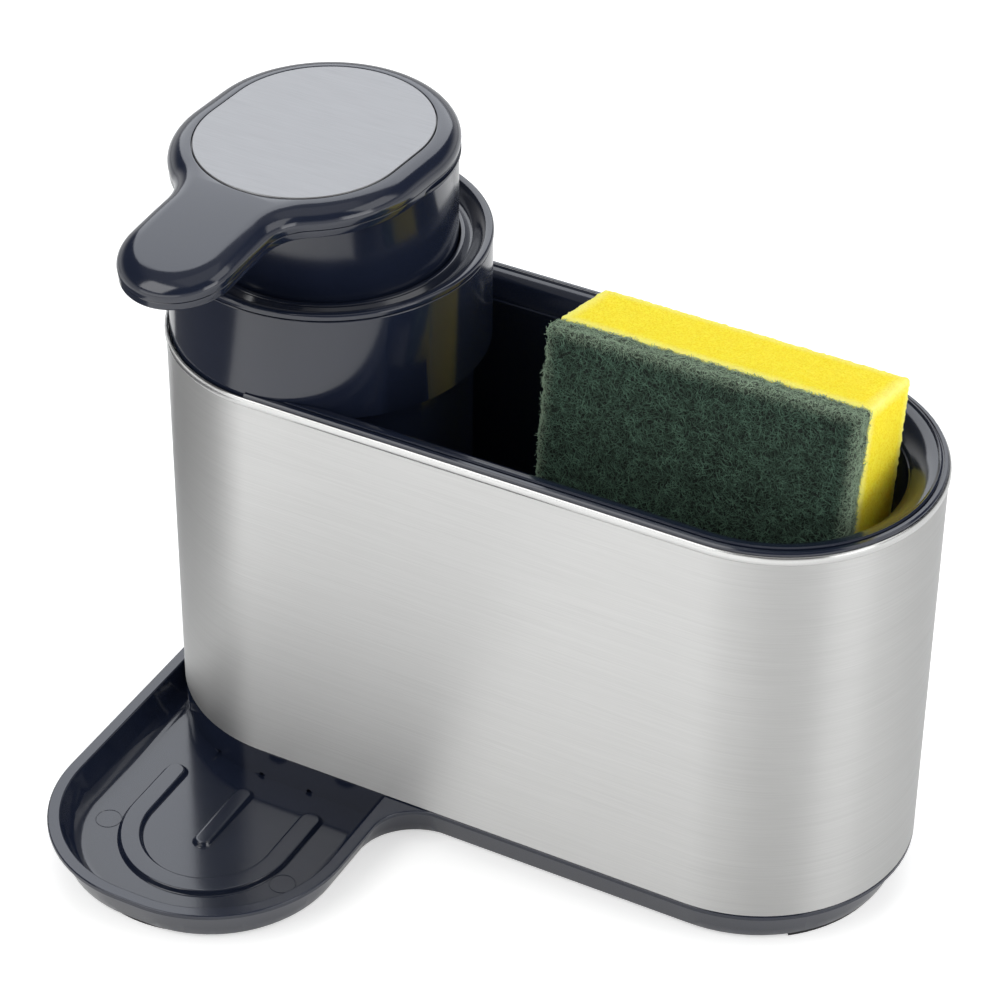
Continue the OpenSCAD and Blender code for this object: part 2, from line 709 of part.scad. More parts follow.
module dip_tube() color("#f0efe8") at_bottle() translate([0, 0, tube_bottom]) difference() {
    cylinder(r = tube_r, h = tube_top - tube_bottom);
    translate([0, 0, -over]) cylinder(r = tube_r - tube_wall, h = tube_top - tube_bottom + 2 * over);
}

module inlet_ball() color("#b9bcc0") at_bottle() translate([0, 0, inlet_seat + inlet_rise])
    sphere(r = inlet_ball_r);

// A coil spring, as one tube swept along its helix
function helix_ring(i, steps, turns, r, length, sides) =
    let (t = i / steps, a = 360 * turns * t, lean = atan(length / turns / (2 * PI * r)),
        centre = [r * cos(a), r * sin(a), wire_r + (length - 2 * wire_r) * t],
        out = [cos(a), sin(a), 0], side = [sin(a) * sin(lean), -cos(a) * sin(lean), cos(lean)])
    [for (k = [0 : sides - 1]) let (b = 360 * k / sides)
        centre + wire_r * (cos(b) * out + sin(b) * side)];

module return_spring() color("#b9bcc0") at_bottle() translate([0, 0, cage_top]) {
    sides = 6;
    steps = spring_curls * 8;
    rings = [for (i = [0 : steps]) helix_ring(i, steps, spring_curls, spring_r, spring_length, sides)];
    points = [for (ring = rings) for (p = ring) p];
    last = steps * sides;
    walls = [for (i = [0 : steps - 1], k = [0 : sides - 1])
        let (a = i * sides + k, b = i * sides + (k + 1) % sides)
        for (f = [[a, a + sides, b], [b, a + sides, b + sides]]) f];
    echo(str("Least gap between the spring's curls: ",
        (spring_length - 2 * wire_r) / spring_curls - 2 * wire_r));
    polyhedron(points, concat(walls, [[for (k = [0 : sides - 1]) k],
        [for (k = [sides - 1 : -1 : 0]) last + k]]));
}

// A double-lipped piston that slides in the housing's bore
module piston() color("#f0efe8") at_bottle() {
    lip = piston_height / 4;
    waist = bore_r - run_gap - lip / 2;
    bore = stem_r + run_gap / 2;
    rotate_extrude() polygon([
        [bore, piston_bottom], [bore_r - run_gap, piston_bottom], [bore_r - run_gap, piston_bottom + lip],
        [waist, piston_bottom + 1.5 * lip], [waist, piston_top - 1.5 * lip],
        [bore_r - run_gap, piston_top - lip], [bore_r - run_gap, piston_top], [bore, piston_top]]);
}

module stem() color("#f0efe8") at_bottle() rotate_extrude() polygon([
    [stem_bore_r, stem_bottom], [stem_r, stem_bottom], [stem_r, stem_top], [chamber_r, stem_top],
    [chamber_r, outlet_seat + chamber_r - stem_bore_r], [stem_bore_r, outlet_seat]]);

module outlet_ball() color("#b9bcc0") at_bottle() translate([0, 0, outlet_seat + outlet_rise])
    sphere(r = outlet_ball_r);

// Head outline, its right half from the back to the spout's tip, moved inwards by inset
neck_x = spout_half + neck_fillet;
neck_y = -head_shift - head_straight - sqrt(pow(head_r + neck_fillet, 2) - pow(neck_x, 2));
neck_angle = atan2(neck_y + head_shift + head_straight, neck_x);
arc_steps = 10;
function head_half(inset) = concat(
    arc(0, head_straight - head_shift, head_r - inset, 90, 0, arc_steps),
    arc(0, -head_straight - head_shift, head_r - inset, 0, neck_angle, arc_steps),
    arc(neck_x, neck_y, neck_fillet + inset, neck_angle + 180, 180, arc_steps, 1),
    arc(0, -spout_reach, spout_half - inset, 0, -90, arc_steps));
// How far the head has drooped at y, where its tip droops by that much in all
function droop(y, tip) = -tip
    * pow(max(0, -y - droop_start) / (spout_end - droop_start), 1.5);
// A closed ring of that outline at height z, drooping with the spout
function head_ring(inset, z, tip) = let (h = head_half(inset), n = len(h))
    concat([for (p = h) [p[0], p[1], z + droop(p[1], tip)]],
        [for (i = [n - 2 : -1 : 1]) [-h[i][0], h[i][1], z + droop(h[i][1], tip)]]);

// Faces between two rings of n points, and over a ring, as rungs from one side to the other
function band(a, b, n) = [for (i = [0 : n - 1]) let (j = (i + 1) % n)
    for (f = [[a + i, a + j, b + i], [a + j, b + j, b + i]]) f];
function rungs(a, n) = let (half = n / 2) concat([[a, a + 1, a + n - 1]],
    [for (i = [1 : half - 2]) for (f = [[a + i, a + i + 1, a + n - i],
        [a + i + 1, a + n - i - 1, a + n - i]]) f],
    [[a + half - 1, a + half, a + half + 1]]);
function flipped(faces) = [for (f = faces) [f[2], f[1], f[0]]];

// Rings from the foot to the top, closed over both ends
module head_solid(rings) {
    n = len(rings[0]);
    last = (len(rings) - 1) * n;
    polyhedron([for (ring = rings) for (p = ring) p], concat(
        [for (k = [0 : len(rings) - 2]) for (f = band(k * n, (k + 1) * n, n)) f],
        flipped(rungs(0, n)), rungs(last, n)));
}

module disc_shape(r, h) {
    linear_extrude(h) {
        for (s = [-1, 1]) translate([0, s * head_straight - head_shift]) circle(r = r);
        translate([-r, -head_straight - head_shift]) square([2 * r, 2 * head_straight]);
    }
}

// The lower shell closes the head from below and carries the skirt and the stem's socket
module head_base() color("#2b303b") at_head() difference() {
    union() {
        head_solid([head_ring(parting_gap * 4, lower_bottom, spout_droop),
            head_ring(parting_gap * 2, lower_bottom + lower_height / 4, spout_droop),
            head_ring(parting_gap * 2, parting - parting_gap, spout_droop)]);
        translate([0, 0, skirt_bottom]) difference() {
            cylinder(r = skirt_r, h = skirt_length + lower_height / 2);
            translate([0, 0, -over]) cylinder(r = skirt_r - skirt_wall, h = skirt_length + over);
        }
        translate([0, 0, lower_bottom - boss_depth])
            cylinder(r = boss_r, h = boss_depth + lower_height / 2);
    }
    translate([0, 0, lower_bottom - boss_depth - over])
        cylinder(r = stem_r + run_gap, h = boss_depth + over + lower_height - boss_roof);
    translate([0, 0, lower_bottom - over])
        cylinder(r = channel_bore_r, h = lower_height + 2 * over);
    translate([0, -spout_reach, lower_bottom - spout_droop - over])
        cylinder(r = nozzle_r + nozzle_play, h = lower_height + spout_droop + over);
}

// The upper cover is a shell with a broad round edge and a bed for the steel disc
module head_cover() color("#2b303b") at_head() {
    steps = 6;
    difference() {
        head_solid(concat([head_ring(parting_gap, parting, spout_droop)],
            [for (i = [0 : steps]) let (a = 90 * i / steps)
                head_ring(edge_round * (1 - cos(a)),
                    parting + edge_stand + (cover_height - edge_stand) * sin(a),
                    spout_droop + tip_thin * sin(a))]));
        head_solid([head_ring(cover_wall, parting - over, spout_droop),
            head_ring(cover_wall, parting + edge_stand, spout_droop),
            head_ring(cover_wall + edge_round / 2, parting + cover_height - cover_wall,
                spout_droop + tip_thin)]);
        translate([0, 0, parting + cover_height - disc_thick - disc_bed])
            disc_shape(disc_r + disc_gap, disc_thick + disc_bed + over);
    }
}

module steel_disc() color("#c9cbcc") at_head()
    translate([0, 0, parting + cover_height - disc_thick + disc_proud])
        disc_shape(disc_r, disc_thick);

// The soap's way through the head: a socket over the stem, a level tube and a drooping one
channel_mid = parting - parting_gap + channel_clear + channel_r;
channel_stop = spout_reach - nozzle_grip;
function channel_point(d) = [0, -d, channel_mid + droop(-d, spout_droop)];

// The two tubes stop short of their bend, where a ball a little wider than they are joins them
module channel_run(r) {
    bend = channel_point(droop_start);
    stop = channel_point(channel_stop);
    back = r * bend_back_share;
    translate([0, 0, channel_mid]) rotate([90, 0, 0]) cylinder(r = r, h = droop_start - back);
    translate(bend) sphere(r = r * bend_ball_share);
    translate(bend) rotate([90 + atan2(bend[2] - stop[2], bend[1] - stop[1]), 0, 0])
        translate([0, 0, back]) cylinder(r = r, h = norm(stop - bend) - back);
}

module outlet_channel() color("#e4e5e2") at_head() difference() {
    union() {
        translate([0, 0, parting - parting_gap])
            cylinder(r = channel_boss_r, h = 2 * channel_r + channel_clear * 1.4);
        channel_run(channel_r);
    }
    translate([0, 0, parting - parting_gap - over])
        cylinder(r = channel_bore_r * bend_ball_share, h = channel_clear + channel_r + over);
    channel_run(channel_bore_r);
}

module spout_nozzle() color("#2b303b") at_head() {
    tube_end = channel_point(spout_reach);
    foot = lower_bottom + droop(-spout_reach, spout_droop) - nozzle_drop;
    translate([0, -spout_reach, foot]) difference() {
        cylinder(r = nozzle_r, h = tube_end[2] + channel_r - nozzle_top_drop - foot);
        translate([0, 0, -over]) cylinder(r = nozzle_bore_r, h = tube_end[2] - foot + over);
        translate([0, nozzle_grip - nozzle_play, channel_point(channel_stop)[2] - foot])
            rotate([-90, 0, 0]) cylinder(r = channel_r + channel_play, h = nozzle_r);
        translate([0, 0, tube_end[2] - foot]) rotate([-90, 0, 0])
            cylinder(r = channel_bore_r, h = nozzle_r);
    }
}

// A slice of the sponge's thickness, from a to b behind the front face, leaning to the back
function sponge_foot(d) = [sponge_front
    + d * (cos(sponge_slope) + sin(sponge_slope) * tan(sponge_lean)), sponge_bottom];
function sponge_head(d) = [sponge_front + d * cos(sponge_slope) + sponge_height * tan(sponge_lean),
    sponge_bottom + sponge_height - d * sin(sponge_slope)];

module sponge_slice(a, b) difference() {
    translate([sponge_start, 0, 0]) rotate([90, 0, 90]) linear_extrude(sponge_length)
        polygon([sponge_foot(a), sponge_foot(b), sponge_head(b), sponge_head(a)]);
    difference() {
        translate([straight, -end_r, sponge_bottom - over])
            cube([end_r, 2 * end_r, rim_foot - sponge_bottom + 2 * over]);
        translate([straight, 0, sponge_bottom - 2 * over])
            cylinder(r = well_half - fit_gap, h = rim_foot - sponge_bottom + 4 * over);
    }
}

module sponge_foam() color("#f2e441") at_body() sponge_slice(pad_thick, sponge_thick);

module scouring_pad() color("#2f4f43") at_body() sponge_slice(0, pad_thick);

drip_tray_base();
rubber_feet();
base_screws();
steel_sleeve();
liner();
bottle();
refill_cap();
cap_seal();
pump_housing();
housing_gasket();
housing_nut();
stem_guide();
dip_tube();
inlet_ball();
return_spring();
piston();
stem();
outlet_ball();
head_base();
head_cover();
steel_disc();
outlet_channel();
spout_nozzle();
sponge_foam();
scouring_pad();
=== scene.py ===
# %% [markdown]
# # Dressing a soap pump caddy
# The caddy is a round-ended sleeve of brushed stainless sheet on a dark moulded base with a drip
# tray. A soap bottle with a palm-sized press pump stands in its left end, and a two-layer sponge
# in its right end. Its solids come from the measured frame, which stays as it is. This lesson
# gives each solid its real finish, and replaces a solid only where the real piece is softer or
# smoother.

# %% Load the measured frame
import json
import math

import bmesh
import bpy
import numpy as np
from mathutils import Matrix, Vector, noise
from mathutils.geometry import tessellate_polygon

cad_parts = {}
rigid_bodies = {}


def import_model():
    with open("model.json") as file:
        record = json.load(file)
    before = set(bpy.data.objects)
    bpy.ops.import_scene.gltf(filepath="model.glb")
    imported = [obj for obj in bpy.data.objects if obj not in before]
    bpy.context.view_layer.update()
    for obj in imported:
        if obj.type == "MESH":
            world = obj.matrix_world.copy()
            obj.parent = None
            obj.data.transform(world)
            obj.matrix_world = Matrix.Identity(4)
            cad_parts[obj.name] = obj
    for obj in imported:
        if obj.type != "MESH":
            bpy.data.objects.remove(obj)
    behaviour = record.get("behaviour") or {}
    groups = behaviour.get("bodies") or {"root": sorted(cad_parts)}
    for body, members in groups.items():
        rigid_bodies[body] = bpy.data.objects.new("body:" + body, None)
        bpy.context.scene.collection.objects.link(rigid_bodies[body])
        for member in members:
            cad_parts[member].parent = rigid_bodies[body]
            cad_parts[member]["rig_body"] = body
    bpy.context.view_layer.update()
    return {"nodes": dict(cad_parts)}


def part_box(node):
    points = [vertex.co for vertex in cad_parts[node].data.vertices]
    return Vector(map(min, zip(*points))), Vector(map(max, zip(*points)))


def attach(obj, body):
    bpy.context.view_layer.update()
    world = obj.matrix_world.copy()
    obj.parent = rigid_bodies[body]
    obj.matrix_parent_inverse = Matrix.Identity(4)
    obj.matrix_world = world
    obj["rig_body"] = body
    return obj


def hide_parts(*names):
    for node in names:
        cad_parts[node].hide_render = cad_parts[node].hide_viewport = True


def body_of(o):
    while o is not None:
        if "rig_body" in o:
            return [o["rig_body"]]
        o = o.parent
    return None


for leftover in list(bpy.data.objects):
    bpy.data.objects.remove(leftover)
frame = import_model()

# %% [markdown]
# ## Sizes and small helpers
# All sizes below are in millimetres, as on a drawing, and one factor turns them to metres. The
# pump's axis runs through the centre of the body's left round end. The body's long middle line is
# set back from the frame's origin, because the drip tray stands out in front of it.

# %% Sizes that several pieces share
MM = 0.001
END_R = 46.0
STRAIGHT = 68.0
BODY_Y = 35.75
PUMP_AXIS = np.array([-STRAIGHT, BODY_Y])
HEAD_TURN = math.radians(-4)
print(f"the body is {2 * (STRAIGHT + END_R):.0f} mm long and {2 * END_R:.0f} mm deep")


# %% One function for colours, one for nodes
def linear(code):
    """An sRGB hex colour such as 2B303B as the linear colour that a shader takes."""
    parts = [int(code[i:i + 2], 16) / 255 for i in (0, 2, 4)]
    return (*(c / 12.92 if c <= 0.04045 else ((c + 0.055) / 1.055) ** 2.4 for c in parts), 1.0)


def add(tree, kind, settings=None, inputs=None):
    """Adds a node, sets its own settings, and fills its inputs with values or links.
    A node that is given as an input stands for its first output."""
    made = tree.nodes.new(kind)
    for key, value in (settings or {}).items():
        setattr(made, key, value)
    for key, value in (inputs or {}).items():
        if isinstance(value, bpy.types.Node):
            value = value.outputs[0]
        if isinstance(value, bpy.types.NodeSocket):
            tree.links.new(value, made.inputs[key])
        else:
            made.inputs[key].default_value = value
    return made


# %% How a finish starts and ends, and how an object enters the scene
def start_finish(name):
    """A new material with an empty tree, and the place on the piece in metres."""
    material = bpy.data.materials.new(name)
    material.use_nodes = True
    tree = material.node_tree
    tree.nodes.clear()
    return material, tree, add(tree, "ShaderNodeTexCoord").outputs["Object"]


def end_finish(tree, inputs):
    """The material's surface is one principled shader with these values and links."""
    shader = add(tree, "ShaderNodeBsdfPrincipled", None, inputs)
    add(tree, "ShaderNodeOutputMaterial", None, {"Surface": shader})


def in_scene(name, data):
    """A new object at the origin for a mesh, a lamp or a camera."""
    made = bpy.data.objects.new(name, data)
    bpy.context.scene.collection.objects.link(made)
    return made


# %% [markdown]
# ## The camera
# The photograph was taken with a long lens from the front right and well above, so the lines of the
# body run almost parallel. The camera stands where the body's edges and round ends fall on the same
# places as in the photograph, with a slight turn about its own axis.

# %% The camera
def stand_camera(position, target, roll, lens):
    """A camera at a place in mm that looks at another, with its picture turned by roll."""
    data = bpy.data.cameras.new("studio_camera")
    data.sensor_fit = "HORIZONTAL"
    data.sensor_width = 36
    data.lens = lens
    data.clip_end = 20
    camera = in_scene("studio_camera", data)
    place = Vector(position) * MM
    look = (Vector(target) * MM - place).normalized()
    side = look.cross(Vector((0, 0, 1))).normalized()
    top = side.cross(look)
    turned = side * math.cos(roll) + top * math.sin(roll)
    upright = top * math.cos(roll) - side * math.sin(roll)
    camera.matrix_world = Matrix.Translation(place) @ Matrix(
        (turned, upright, -look)).transposed().to_4x4()
    return camera


camera = stand_camera((363.9, -687.35, 695.3), (-14.32, 35.75, 92.53), math.radians(0.598),
                      lens=130.13)
bpy.context.scene.camera = camera
bpy.context.scene.view_settings.view_transform = "Standard"
print("the camera stands at", [round(c, 3) for c in camera.location])

# %% [markdown]
# ## A white studio
# The product stands on a white sweep that the camera and the metal both see as white. The sweep is
# an ordinary matt floor, which keeps the soft shadow, with a little glow added only for what the
# camera, a reflection or a clear piece sees. The lamps stay at a plain level.

# %% The floor
def seen_directly(tree, camera, mirrored):
    """A strength for what the camera sees, one for what a gloss or clear piece sees, else 0."""
    path = add(tree, "ShaderNodeLightPath")
    clear = add(tree, "ShaderNodeMath", {"operation": "MAXIMUM"}, {
        0: path.outputs["Is Glossy Ray"], 1: path.outputs["Is Transmission Ray"]})
    clear = add(tree, "ShaderNodeMath", {"operation": "MULTIPLY"}, {0: clear, 1: mirrored})
    return add(tree, "ShaderNodeMath", {"operation": "MULTIPLY_ADD"}, {
        0: path.outputs["Is Camera Ray"], 1: camera, 2: clear})


def flat_sheet(name, low, high, level, finish):
    """A rectangle on the table from the corner low to the corner high, in metres."""
    mesh = bpy.data.meshes.new(name)
    mesh.from_pydata([(*low, level), (high[0], low[1], level), (*high, level),
                      (low[0], high[1], level)], [], [(0, 1, 2, 3)])
    mesh.materials.append(finish)
    return in_scene(name, mesh)


floor_paper, tree, place = start_finish("matt_white_paper")
# Painted light: for what a reflection or a clear piece sees, the paper in front of the caddy glows
# more than the paper behind it
depth = add(tree, "ShaderNodeSeparateXYZ", None, {0: place}).outputs[1]
front = add(tree, "ShaderNodeMapRange", {"interpolation_type": "SMOOTHSTEP"}, {
    "Value": depth, "From Min": 0.0, "From Max": -0.25, "To Min": 0.14, "To Max": 0.57})
# The lamps leave the far paper dimmer, and the camera's share of the glow makes up for that
away = add(tree, "ShaderNodeVectorMath", {"operation": "LENGTH"}, {0: place}).outputs["Value"]
away = add(tree, "ShaderNodeMapRange", {"interpolation_type": "SMOOTHSTEP"}, {
    "Value": away, "From Min": 0.35, "From Max": 1.2, "To Min": 0.5, "To Max": 0.9})
end_finish(tree, {
    "Base Color": linear("E9E9E8"), "Roughness": 0.9, "Specular IOR Level": 0.0,
    "Emission Color": (1, 1, 1, 1), "Emission Strength": seen_directly(tree, away, front)})
FLOOR_HALF = 4
studio_floor = flat_sheet("studio_floor", (-FLOOR_HALF, -FLOOR_HALF), (FLOOR_HALF, FLOOR_HALF), 0,
                          floor_paper)
print("the floor is", 2 * FLOOR_HALF, "m wide")

# %% The air round it
air = bpy.data.worlds.new("studio_air")
bpy.context.scene.world = air
air.use_nodes = True
tree = air.node_tree
tree.nodes.clear()
# Reflections see the sweep up to a little above the horizon, a darker room, and a dim ceiling
way = add(tree, "ShaderNodeTexCoord").outputs["Generated"]
up = add(tree, "ShaderNodeSeparateXYZ", None, {0: way}).outputs[2]
wall = add(tree, "ShaderNodeMapRange", {"interpolation_type": "SMOOTHSTEP"}, {
    "Value": up, "From Min": 0.05, "From Max": 0.4, "To Min": 0.5, "To Max": -0.36})
ceiling = add(tree, "ShaderNodeMapRange", {"interpolation_type": "SMOOTHSTEP"}, {
    "Value": up, "From Min": 0.72, "From Max": 0.92, "To Min": 0.0, "To Max": 0.25})
room = add(tree, "ShaderNodeMath", None, {0: wall, 1: ceiling})
# Everything gets the plain level, and the camera's extra brings the background to 1, which is white
PLAIN = 0.42
strength = add(tree, "ShaderNodeMath", None, {0: seen_directly(tree, 1 - PLAIN, room), 1: PLAIN})
glow = add(tree, "ShaderNodeBackground", None, {"Color": (1, 1, 1, 1), "Strength": strength})
add(tree, "ShaderNodeOutputWorld", None, {"Surface": glow})
print("the air gives a plain level of", PLAIN)


# %% Soft boxes
def soft_box(name, azimuth, elevation, distance, width, height, power, colour=(1, 1, 1)):
    """A flat lamp that looks at the caddy. Azimuth 0 is in front, and grows to the right."""
    data = bpy.data.lights.new(name, "AREA")
    data.shape = "RECTANGLE"
    data.size, data.size_y, data.energy = width, height, power
    data.color = colour
    lamp = in_scene(name, data)
    a, e = math.radians(azimuth), math.radians(elevation)
    aim = Vector((0, 0.03, 0.08))
    out = Vector((math.sin(a) * math.cos(e), -math.cos(a) * math.cos(e), math.sin(e)))
    lamp.location = aim + out * distance
    lamp.rotation_euler = out.to_track_quat("Z", "Y").to_euler()
    return lamp


soft_box("key_box", -28, 43, 1.3, 0.8, 0.8, 5.6)
soft_box("front_box", -10, 10, 1.25, 1.5, 0.35, 1.6)
soft_box("side_box", 74, 16, 1.3, 0.6, 0.5, 2.1)
soft_box("top_box", 60, 78, 1.4, 1.0, 1.0, 0.8)
soft_box("right_box", 100, 42, 1.4, 0.8, 0.8, 3.0)
# This one lights the sponge's cut end over the rim, and the steel beside it doesn't mirror it
soft_box("foam_box", 96, 9, 1.3, 0.5, 0.5, 4.5).visible_glossy = False
# This one stands where the head's top and the tray's floor mirror it towards the camera
soft_box("back_box", -152, 40, 1.5, 1.5, 1.1, 11.8, (0.92, 0.95, 1.0))

# %% A dark card on the table
# Photographers lay a dark card beside a glossy product, so that its edge shows against the white.
# Only reflections see this one
card_paint, tree, place = start_finish("dark_card")
end_finish(tree, {"Base Color": linear("646466"), "Roughness": 0.9, "Specular IOR Level": 0.0})
dark_card = flat_sheet("dark_card", (-0.50, -0.30), (-0.225, 0.10), 0.0005, card_paint)
dark_card.visible_camera = dark_card.visible_diffuse = dark_card.visible_shadow = False
print("only reflections see", dark_card.name)

# %% [markdown]
# ## Brushed stainless sheet
# The sleeve is stainless sheet, brushed along its length before it was rolled. Brushing leaves
# grooves tens of millimetres long and a fraction of a millimetre apart. They smear a reflection
# across themselves, so a lamp becomes an upright band of light and the tray an upright grey cloud.
# A noise that is stretched along the sheet draws the grooves, and an anisotropic gloss does the
# smearing. The disc on the head is brushed finer, in one direction.


# %% Brushed stainless
def brushed_stainless(name, shades, across, stretch, roughness, anisotropy, axis, burnished=None):
    """across is the groove spacing in mm. stretch squeezes the pattern's place, so that 0.01 makes
    a groove 100 times longer that way. axis is what the direction of the grooves turns about, and
    burnished are two heights in mm between which the sheet turns smoother."""
    material, tree, place = start_finish(name)
    grooves = add(tree, "ShaderNodeMapping", None, {"Vector": place, "Scale": stretch})
    fine = add(tree, "ShaderNodeTexNoise", None, {
        "Vector": grooves, "Scale": 1 / (across * MM), "Detail": 2.0, "Roughness": 0.6})
    wide = add(tree, "ShaderNodeTexNoise", None, {
        "Vector": grooves, "Scale": 0.17 / (across * MM), "Detail": 3.0, "Roughness": 0.55})
    both = add(tree, "ShaderNodeMix", None, {0: 0.1, 2: fine, 3: wide})
    # A groove scatters more than the ridge beside it, and looks a little darker
    gloss = add(tree, "ShaderNodeMapRange", None, {
        "Value": both, "From Min": 0.3, "From Max": 0.7,
        "To Min": roughness + 0.03, "To Max": roughness - 0.03})
    if burnished:
        height = add(tree, "ShaderNodeSeparateXYZ", None, {0: place}).outputs[2]
        smoother = add(tree, "ShaderNodeMapRange", None, {
            "Value": height, "From Min": burnished[0] * MM, "From Max": burnished[1] * MM,
            "To Min": 1.0, "To Max": 0.5})
        gloss = add(tree, "ShaderNodeMath", {"operation": "MULTIPLY"}, {0: gloss, 1: smoother})
    shade = add(tree, "ShaderNodeMix", {"data_type": "RGBA"}, {
        0: both, 6: linear(shades[0]), 7: linear(shades[1])})
    bump = add(tree, "ShaderNodeBump", None, {
        "Height": both, "Strength": 0.06, "Distance": 0.03 * MM})
    along = add(tree, "ShaderNodeTangent", {"direction_type": "RADIAL", "axis": axis})
    # A quarter turn lays the smear across the grooves
    end_finish(tree, {
        "Metallic": 1.0, "Anisotropic": anisotropy, "Anisotropic Rotation": 0.25,
        "Base Color": shade.outputs[2], "Roughness": gloss, "Normal": bump, "Tangent": along})
    return material


# The roller that turns the sleeve's top edge over also burnishes it
sleeve_steel = brushed_stainless("brushed_stainless_sheet", ("C3C3C2", "D3D3D2"), 0.3,
                                 (0.01, 0.01, 1.0), 0.46, 0.88, "Z", (134.4, 134.9))
# The disc is brushed along x, and well above the floor a turn about X gives one even direction
disc_steel = brushed_stainless("finely_brushed_stainless", ("8C8C8D", "959596"), 0.25,
                               (0.02, 1.0, 1.0), 0.42, 0.4, "X")
print("made", sleeve_steel.name, "and", disc_steel.name)

# %% [markdown]
# ## Moulded plastics
# The dark pieces are moulded ABS from polished tools: a deep slate blue under a clear gloss. The
# mould leaves a faint waviness, which shows only in the reflections. The pump's inner pieces are
# unpainted polypropylene, milky and soft in its gloss.


# %% Moulded ABS and polypropylene
def mottled(name, dark, light, roughness, spread, patch, relief, inputs):
    """A finish whose shade and gloss vary over patches, under a fine relief. patch is the size in
    mm, the detail and the roughness of a noise. relief is the same, then a strength and a depth."""
    material, tree, place = start_finish(name)
    cloud, ripple = [add(tree, "ShaderNodeTexNoise", None, {
        "Vector": place, "Scale": 1 / (size * MM), "Detail": detail, "Roughness": rough})
        for size, detail, rough in (patch, relief[:3])]
    shade = add(tree, "ShaderNodeMix", {"data_type": "RGBA"}, {
        0: cloud, 6: linear(dark), 7: linear(light)})
    gloss = add(tree, "ShaderNodeMapRange", None, {
        "Value": cloud, "To Min": roughness * (1 - spread), "To Max": roughness * (1 + spread)})
    bump = add(tree, "ShaderNodeBump", None, {
        "Height": ripple, "Strength": relief[3], "Distance": relief[4] * MM})
    end_finish(tree, {
        "Base Color": shade.outputs[2], "Roughness": gloss, "Normal": bump, **inputs})
    return material


def moulded(name, dark, light, roughness, wave, inputs=None):
    """A moulded plastic. wave is the depth of the tool's waviness in mm."""
    return mottled(name, dark, light, roughness, spread=0.15, patch=(14, 3.0, 0.5),
                   relief=(1.1, 2.0, 0.5, 0.1, wave), inputs={"IOR": 1.62, **(inputs or {})})


dark_plastic = moulded("moulded_slate_abs", "171D2C", "1C2233", 0.14, 0.02)
base_plastic = moulded("moulded_slate_abs_base", "181E2D", "1D2334", 0.13, 0.02)
natural_plastic = moulded("natural_polypropylene", "DCDCD6", "E8E8E3", 0.38, 0.03, {
    "Subsurface Weight": 0.15, "Subsurface Scale": 1.0,
    "Subsurface Radius": (0.004, 0.004, 0.0035)})
print("made", [m.name for m in (dark_plastic, base_plastic, natural_plastic)])

# %% [markdown]
# ## Small metal and rubber pieces
# The valve balls and the spring are polished stainless, and the screws are plated steel with a
# softer gloss. The feet are black rubber with a dull bloom, and the seals are grey silicone.


# %% Polished and plated steel, rubber
def small_finish(name, dark, light, roughness, grain, inputs):
    """A finish whose relief follows its patches, which are grain mm wide."""
    patch = (grain, 4.0, 0.6)
    return mottled(name, dark, light, roughness, spread=0.25, patch=patch,
                   relief=(*patch, 0.15, 0.03), inputs=inputs)


bright_steel = small_finish("polished_stainless", "C4C5C7", "D6D7D8", 0.12, 0.8, {"Metallic": 1.0})
screw_steel = small_finish("zinc_plated_steel", "9FA3A8", "BFC2C6", 0.28, 0.5, {"Metallic": 1.0})
foot_rubber = small_finish("black_rubber", "131315", "1D1D20", 0.62, 0.6, {"IOR": 1.5})
seal_rubber = small_finish("grey_silicone", "7E8186", "8E9197", 0.45, 0.9, {"IOR": 1.41})
print("made", [m.name for m in (bright_steel, screw_steel, foot_rubber, seal_rubber)])

# %% [markdown]
# ## Foam and scouring fibre
# The sponge is open-cell foam of a strong yellow. Each cell is about half a millimetre wide, and a
# cut face shows them as small dark pits. The pad is a non-woven web of stiff green fibres, clumped
# and bonded, so its colour is broken into small dark and pale spots.

# %% Open-cell foam
foam, tree, place = start_finish("open_cell_foam")
# Painted shade: the pits of the open cells get the darker yellow, and a second noise sets how
# strong that shade is
cells = add(tree, "ShaderNodeTexVoronoi", {"feature": "F1"}, {
    "Vector": place, "Scale": 1 / (0.6 * MM), "Randomness": 1.0})
pit_shade = add(tree, "ShaderNodeMapRange", None, {
    "Value": cells.outputs["Distance"], "From Min": 0.1, "From Max": 0.6})
spread = add(tree, "ShaderNodeTexNoise", None, {
    "Vector": place, "Scale": 1 / (2.5 * MM), "Detail": 4.0, "Roughness": 0.7})
depth = add(tree, "ShaderNodeMapRange", None, {
    "Value": spread, "From Min": 0.3, "From Max": 0.7, "To Min": 0.6, "To Max": 1.0})
both = add(tree, "ShaderNodeMath", {"operation": "MULTIPLY"}, {0: pit_shade, 1: depth})
shade = add(tree, "ShaderNodeMix", {"data_type": "RGBA"}, {
    0: both, 6: linear("F0CE10"), 7: linear("FCE840")})
# The cut edges are thin walls of open cells, which let light through; that light is painted here as
# a paler yellow on the edges
edge = add(tree, "ShaderNodeAttribute", {"attribute_name": "edge"}).outputs["Fac"]
painted_edge_light = add(tree, "ShaderNodeMath", {"operation": "MULTIPLY"}, {0: edge, 1: 0.6})
shade = add(tree, "ShaderNodeMix", {"data_type": "RGBA"}, {
    0: painted_edge_light, 6: shade.outputs[2], 7: linear("FFF79A")})
bump = add(tree, "ShaderNodeBump", None, {
    "Height": both, "Strength": 0.5, "Distance": 0.3 * MM})
end_finish(tree, {
    "Base Color": shade.outputs[2], "Roughness": 0.9, "Specular IOR Level": 0.15, "Normal": bump,
    "Subsurface Weight": 0.6, "Subsurface Scale": 1.0,
    "Subsurface Radius": (0.007, 0.0055, 0.0012)})
print("made", foam.name)
